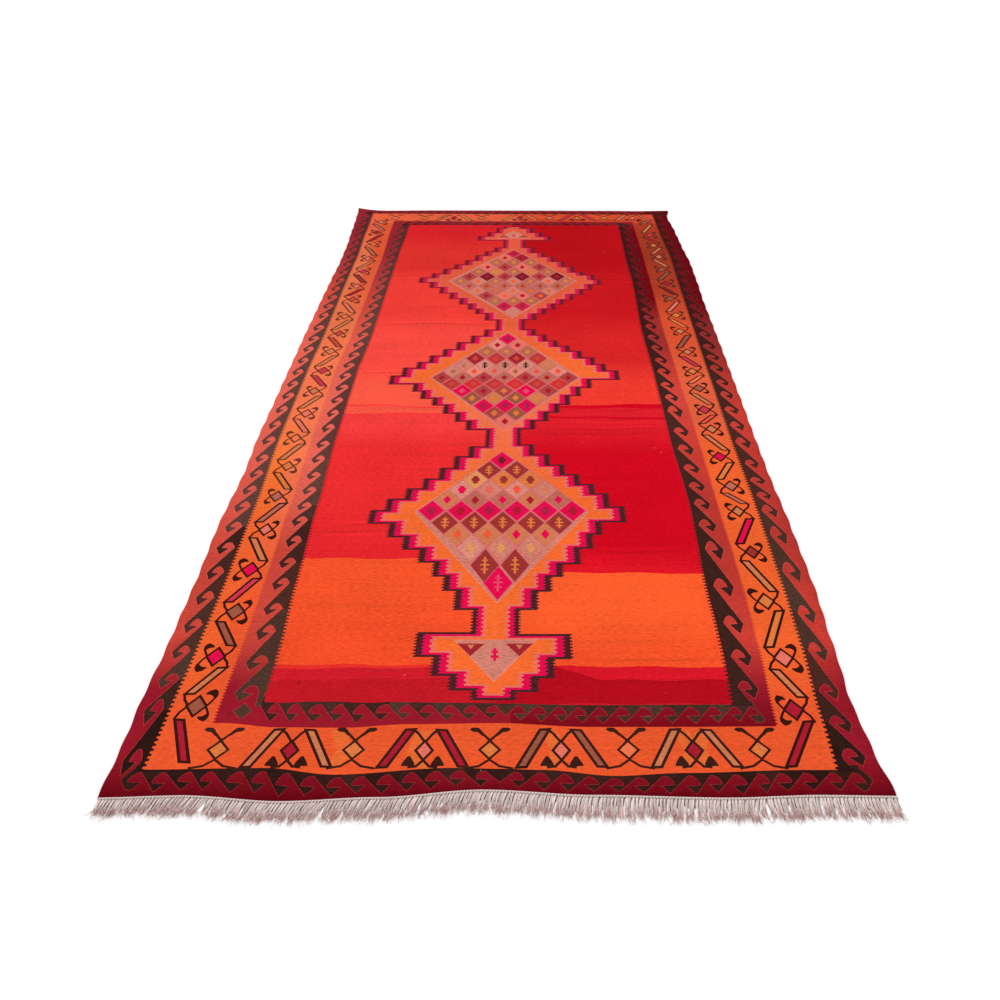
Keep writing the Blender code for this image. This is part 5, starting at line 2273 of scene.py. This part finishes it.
@dataclass(frozen=True)
class PaleFloor:
    """The studio floor's finish: matt white with a faint grain.

    Attributes:
        shade: the floor's white.
        grain, grain_scale: how far the white changes either way, and the grain's scale.
        roughness: the floor's roughness.
    """
    shade: float = 0.985
    grain: float = 0.004
    grain_scale: float = 30.0
    roughness: float = 0.95

    def material(self) -> bpy.types.Material:
        """The white floor.

        Returns:
            The material.
        """
        graph = Finish("studio_floor_white", 0.0)
        noise = graph.noise(graph.place, self.grain_scale, self.grain_scale, 2.0, self.grain_scale)
        white = graph.ramp(noise, 0.3, 0.7, self.shade - self.grain, self.shade + self.grain)
        colour = graph.add("CombineColor", {0: white, 1: white, 2: white}).outputs[0]
        return graph.done(colour, self.roughness)


# --- The fringe -------------------------------------------------------------------------

def tube_mesh(paths: Points, radii: Points, sides: int) -> tuple[Points, Points]:
    """Closed tubes along many paths at once.

    A ring of points stands round each path point, square to the path and with one point up, and
    each tube is closed by a point at either end.

    Args:
        paths: tubes by rings by x, y and z.
        radii: tubes by rings.
        sides: points of a ring.

    Returns:
        Points, and triangles facing outwards.
    """
    tubes, rings = paths.shape[:2]
    ahead = np.gradient(paths, axis=1)
    ahead /= np.maximum(np.linalg.norm(ahead, axis=2, keepdims=True), 1e-9)
    beside = np.cross(ahead, np.array([0.0, 0.0, 1.0]))
    beside /= np.maximum(np.linalg.norm(beside, axis=2, keepdims=True), 1e-9)
    above = np.cross(beside, ahead)
    turn = np.arange(sides) * 2 * np.pi / sides
    spread = (beside[:, :, None] * np.cos(turn)[:, None] + above[:, :, None] * np.sin(turn)[:, None])
    wall = paths[:, :, None] + spread * radii[:, :, None, None]
    caps = np.stack([paths[:, 0] - ahead[:, 0] * radii[:, :1],
                     paths[:, -1] + ahead[:, -1] * radii[:, -1:]], 1)
    points = np.concatenate([wall.reshape(tubes, -1, 3), caps], 1)
    size = rings * sides + 2
    ring = np.arange(rings - 1)[:, None] * sides
    here = ring + np.arange(sides)
    there = ring + (np.arange(sides) + 1) % sides
    quads = [np.stack([here, there, there + sides], -1), np.stack([here, there + sides, here + sides], -1)]
    first, after = np.arange(sides), (np.arange(sides) + 1) % sides
    last = (rings - 1) * sides
    caps = [np.stack([after, first, np.full(sides, size - 2)], -1),
            np.stack([first + last, after + last, np.full(sides, size - 1)], -1)]
    one = np.concatenate([part.reshape(-1, 3) for part in quads + caps])
    return points.reshape(-1, 3), (one[None] + (np.arange(tubes) * size)[:, None, None]).reshape(-1, 3)


@dataclass
class Tubes:
    """Tubes of one kind, with what colours them.

    Attributes:
        paths: tubes by rings by x, y and z.
        radii: radius by tube and ring.
        share: share of the bundle's length by tube and ring.
        tone: tone of each tube.
        sides: points of a ring.
    """
    paths: Points
    radii: Points
    share: Points
    tone: Points
    sides: int = 4


@dataclass
class Bundles:
    """The fringe's bundles.

    Attributes:
        root, length, splay, tone: place across, share of the length, opening and tone of each.
    """
    root: Points
    length: Points
    splay: Points
    tone: Points


@dataclass(frozen=True)
class Fringe:
    """The near fringe: a twined white heading and bundles of warp ends that fray.

    Attributes:
        form: the cloth's form.
        bundles: number of bundles.
        yarns, shade_strands, fibres: warp yarns, dark strands of painted shadow between bundles, and frayed
            fibres in each.
        radius, shade_strand_radius, fibre_radius: of each kind.
        rings, fibre_rings: points along a yarn, and along a shadow strand or a fibre.
        low, high: limits of the bundles across.
        twine_radius, twine_pitch, twine_turn: the heading's two twined cords.
        twist: how far every strand leaves its root sideways.
        twist_run: the run over which it does so.
        small_sway, large_sway, bend: how far a strand wanders sideways, and up and down.
        root_gap, root_height: gap to the cloth's edge and height at the root.
        fall, least_height: how fast a strand falls to its own height, and the least height.
        margin: share of the baked picture left free on each side.
        seed: seed of its irregularities.
        hang: length and lean of the bundles across the rug.
        partings: where the bundles lean away from each other.
    """
    form: ClothForm
    bundles: int = 226
    yarns: int = 4
    shade_strands: int = 2
    fibres: int = 10
    radius: float = 0.00080
    shade_strand_radius: float = 0.00075
    fibre_radius: float = 0.00030
    rings: int = 8
    fibre_rings: int = 6
    low: float = -0.8225
    high: float = 0.8275
    twine_radius: float = 0.00160
    twine_pitch: float = 0.0068
    twine_turn: float = 0.0010
    twist: float = 0.0030
    twist_run: float = 0.007
    small_sway: float = 0.0007
    large_sway: float = 0.0011
    bend: float = 0.0008
    root_gap: float = 0.0012
    root_height: float = 0.0022
    fall: float = 9.0
    least_height: float = 0.0005
    margin: float = 0.005
    seed: int = 23
    hang: Chart = Chart("station length lean", (
        (-.83, .038, -.10), (-.60, .040, -.28), (-.30, .045, -.32), (.00, .047, -.22), (.30, .048, -.05),
        (.60, .050, .04), (.83, .048, .08)))
    partings: Chart = Chart("station opening reach", ((-.60, .20, .05), (-.35, .16, .05), (.56, .18, .06)))

    def edge(self, x: Points) -> Points:
        """Y of the cloth's near edge at the places x, read from its outline."""
        plan = self.form.place(np.linspace(0, 1, 400), np.zeros(400))
        return np.interp(x, plan[:, 0], plan[:, 1])

    def lean(self, x: Points) -> Points:
        """Sideways lean of a bundle: the chart's lean, turned away from each parting.

        Args:
            x: places across.

        Returns:
            The lean at each place.
        """
        lean = self.hang.eased("lean", x)
        for row in self.partings.records():
            away = x - row["station"]
            lean = lean + np.copysign(row["opening"] * np.exp(-np.abs(away) / row["reach"]), away)
        return lean

    def strands(self, root_x: Points, start: Points, stop: Points, splay: Points, rings: int,
                dice: np.random.Generator, height: Points) -> tuple[Points, Points]:
        """Paths of strands that leave the heading, drop to the floor and wander to their tips.

        Y falls evenly along the strand. X leans with the bundle, opens by the splay squared and
        wanders by two sines. Z falls from the heading to each strand's own height.

        Args:
            root_x: place across of each root.
            start, stop: shares of the bundle's length at which each strand starts and ends.
            splay: sideways opening of each at its tip.
            rings: points of a path.
            dice: the source of chance.
            height: height of each over the floor.

        Returns:
            Paths, and the share of the bundle's length at every point.
        """
        share = start[:, None] + (stop - start)[:, None] * np.linspace(0, 1, rings)
        length = self.hang.eased("length", root_x)[:, None]
        run = share * length
        phase = dice.uniform(0, 2 * np.pi, (2, len(root_x), 1))
        wander = (self.small_sway * np.sin(share * 7 + phase[0])
                  + self.large_sway * share * np.sin(share * 13 + phase[1])) * share ** 0.5
        x = root_x[:, None] + self.lean(root_x)[:, None] * run + splay[:, None] * share ** 2 + wander
        x = x - self.twist * (1 - np.exp(-run / self.twist_run))
        y = self.edge(root_x)[:, None] - self.root_gap - run
        fall = np.exp(-share * self.fall)
        bend = self.bend * share * np.sin(share * 11 + phase[0])
        z = height[:, None] * (1 - fall) + self.root_height * fall + bend
        return np.stack([x, y, np.maximum(z, self.least_height)], -1), share

    def heading(self) -> Tubes:
        """Two cords twined round each other along the cloth's edge.

        Returns:
            The cords.
        """
        x = np.arange(-0.8265, 0.832, self.twine_pitch / 6)
        twist = 2 * np.pi * x / self.twine_pitch
        paths = []
        for half in (0.0, np.pi):
            y = self.edge(x) - 0.0002 + self.twine_turn * np.sin(twist + half)
            z = 0.0036 + self.twine_turn * np.cos(twist + half)
            paths.append(np.stack([x, y, z], -1))
        size, tone = (2, len(x)), np.array([1.0, 0.50])
        return Tubes(np.array(paths), np.full(size, self.twine_radius), np.zeros(size), tone)

    def whole_yarns(self, bundles: Bundles, dice: np.random.Generator) -> Tubes:
        """The bundles' warp yarns, from the heading to their tips.

        Args:
            bundles: the bundles.
            dice: the source of chance.

        Returns:
            The yarns.
        """
        owner = np.repeat(np.arange(self.bundles), self.yarns)
        count = len(owner)
        slot = np.tile(np.linspace(-1, 1, self.yarns), self.bundles)
        root_x = bundles.root[owner] + slot * 0.0019 + dice.uniform(-0.0003, 0.0003, count)
        splay = bundles.splay[owner] - slot * 0.0012 + dice.normal(0, 0.0026, count)
        stop = bundles.length[owner] * dice.uniform(0.80, 1.04, count)
        height = dice.uniform(0.0008, 0.0034, count)
        paths, share = self.strands(root_x, np.zeros(count), stop, splay, self.rings, dice, height)
        tone = np.clip(bundles.tone[owner] + dice.uniform(-0.16, 0.10, count), 0, 1)
        return Tubes(paths, self.radius * (1.12 - 0.5 * share), share, tone)

    def painted_shadow_strands(self, bundles: Bundles, dice: np.random.Generator) -> Tubes:
        """Short dark yarns low between the bundles: a painted shadow for the shade between them.

        Args:
            bundles: the bundles.
            dice: the source of chance.

        Returns:
            The yarns.
        """
        owner = np.repeat(np.arange(self.bundles), self.shade_strands)
        count = len(owner)
        beside = np.tile([0.0029, 0.0040], self.bundles)
        root_x = bundles.root[owner] + beside + dice.uniform(-0.0004, 0.0004, count)
        stop = dice.uniform(0.28, 0.78, count)
        none, height = np.zeros(count), np.full(count, 0.0007)
        paths, share = self.strands(root_x, none, stop, none, self.fibre_rings, dice, height)
        # Low tones, so these strands are mostly the painted shadow colour.
        tone = dice.uniform(0.06, 0.34, count)
        return Tubes(paths, self.shade_strand_radius * (1.1 - 0.5 * share), share, tone)

    def frayed_fibres(self, bundles: Bundles, dice: np.random.Generator) -> Tubes:
        """Thin curled fibres that leave the lower part of each bundle.

        Args:
            bundles: the bundles.
            dice: the source of chance.

        Returns:
            The fibres.
        """
        owner = np.repeat(np.arange(self.bundles), self.fibres)
        count = len(owner)
        root_x = bundles.root[owner] + dice.uniform(-0.003, 0.003, count)
        start = bundles.length[owner] * dice.uniform(0.45, 0.85, count)
        stop = np.minimum(start + dice.uniform(0.16, 0.42, count), 1.16)
        splay = bundles.splay[owner] + dice.normal(0, 0.0062, count)
        height = dice.uniform(0.0006, 0.0042, count)
        paths, share = self.strands(root_x, start, stop, splay, self.fibre_rings, dice, height)
        curl = dice.normal(0, 0.0042, (2, count, 1)) * np.linspace(0, 1, self.fibre_rings) ** 2
        paths[..., 0] += curl[0]
        paths[..., 1] += curl[1] * 0.6
        radii = np.full(share.shape, self.fibre_radius)
        return Tubes(paths, radii, share, dice.uniform(0.35, 1.0, count), 3)

    def build(self) -> bpy.types.Object:
        """Build the heading, the yarns, the dark shadow strands and the frayed fibres as one piece.

        Returns:
            The fringe.
        """
        dice, count = np.random.default_rng(self.seed), self.bundles
        roots = np.linspace(self.low, self.high, count) + dice.uniform(-0.0012, 0.0012, count)
        bundles = Bundles(roots, length=dice.uniform(0.80, 1.08, count),
                          splay=dice.normal(0, 0.0034, count), tone=dice.uniform(0.74, 1.0, count))
        return self.join([self.heading(), self.whole_yarns(bundles, dice),
                          self.painted_shadow_strands(bundles, dice), self.frayed_fibres(bundles, dice)])

    def join(self, parts: list[Tubes]) -> bpy.types.Object:
        """Put the parts into one mesh with a strand colour on every point, and a plan UV map.

        Args:
            parts: the tubes of every kind.

        Returns:
            The fringe.
        """
        shift, points, faces, strands, count = self.form.shift(), [], [], [], 0
        for part in parts:
            spots, triangles = tube_mesh(part.paths, part.radii, part.sides)
            points.append(spots + [*shift, 0.0])
            faces.append(triangles + count)
            count += len(spots)
            along = np.concatenate([np.repeat(part.share, part.sides, axis=1), part.share[:, [0, -1]]], 1)
            own = np.broadcast_to(part.tone[:, None], along.shape)
            strands.append(np.stack([along, own, own * 0, own * 0 + 1], -1).reshape(-1, 4))
        points, faces = np.concatenate(points), np.concatenate(faces)
        fringe = make_mesh("fringe_near_warp_ends", points, faces)
        colour = fringe.data.color_attributes.new("strand", "FLOAT_COLOR", "POINT")
        colour.data.foreach_set("color", np.concatenate(strands).astype(np.float32).ravel())
        bake_map(fringe, points, faces, self.margin)
        return fringe


# --- The studio -------------------------------------------------------------------------

@dataclass(frozen=True)
class Studio:
    """Pale floor, soft light and the camera of the photograph.

    Attributes:
        floor: half the floor's side.
        sky: strength of the even light.
        sun, sun_angle: strength of the soft key light, and its width in degrees.
        eye: the camera's place over the cloth's plan.
        pitch: its angle from straight down, in degrees.
        lens: its focal length in millimetres.
        shift_x: how far the picture is moved across, in picture widths.
        sensor: width of its sensor in millimetres.
        near, far: distances between which it sees.
        key_turn: the key light's tilt about X and Y, in degrees.
        gap: how far the floor lies under the rug.
    """
    floor: float = 14.0
    sky: float = 0.70
    sun: float = 1.45
    sun_angle: float = 32.0
    eye: tuple[float, float, float] = (0.0575, -2.562, 1.525)
    pitch: float = 50.24
    lens: float = 28.35
    shift_x: float = -0.02445
    sensor: float = 36.0
    near: float = 0.05
    far: float = 60.0
    key_turn: tuple[float, float] = (-38.0, -22.0)
    gap: float = 0.0004

    def build(self, form: ClothForm) -> None:
        """Add the floor, the lights and the camera.

        Args:
            form: the cloth's form.
        """
        scene = bpy.context.scene
        scene.view_settings.view_transform = "Standard"
        half = self.floor
        corners = np.array([(-half, -half, 0), (half, -half, 0), (half, half, 0), (-half, half, 0)])
        floor = make_mesh("studio_floor", corners - [0, 0, self.gap], np.array([[0, 1, 2, 3]]))
        floor.data.materials.append(PaleFloor().material())
        world = bpy.data.worlds.new("studio_white")
        world.use_nodes = True
        background = world.node_tree.nodes["Background"]
        background.inputs["Color"].default_value = (1, 1, 1, 1)
        background.inputs["Strength"].default_value = self.sky
        scene.world = world
        light = bpy.data.lights.new("key_light", "SUN")
        light.energy, light.angle = self.sun, math.radians(self.sun_angle)
        key = bpy.data.objects.new("key_light", light)
        key.rotation_euler = (*map(math.radians, self.key_turn), 0)
        scene.collection.objects.link(key)
        lens = bpy.data.cameras.new("photo_camera")
        lens.lens, lens.sensor_width, lens.shift_x = self.lens, self.sensor, self.shift_x
        lens.clip_start, lens.clip_end = self.near, self.far
        camera = bpy.data.objects.new("photo_camera", lens)
        shift = form.shift()
        camera.location = (self.eye[0] + shift[0], self.eye[1] + shift[1], self.eye[2])
        camera.rotation_euler = (math.radians(self.pitch), 0, 0)
        scene.collection.objects.link(camera)
        scene.camera = camera


def main() -> None:
    """Build the cloth, the fringe and the studio, hang each piece under the root body, and hide the imported
    solid it replaces.
    """
    form = ClothForm()
    Studio().build(form)
    board = Pattern(form).draw()
    cloth = Weaver(form).weave(board)
    cloth.data.materials.append(WovenWool().material(weft_faced_weave(), lint_stains_and_crease_shading()))
    log.info("%s: %d faces", cloth.name, len(cloth.data.polygons))
    fringe = Fringe(form).build()
    fringe.data.materials.append(FringeYarn().material())
    log.info("%s: %d faces", fringe.name, len(fringe.data.polygons))
    for piece, node in ((cloth, "kilim_cloth"), (fringe, "fringe_near")):
        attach(piece, "root")
        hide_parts(node)


if __name__ == "__main__":
    logging.basicConfig(level=logging.INFO)
    main()
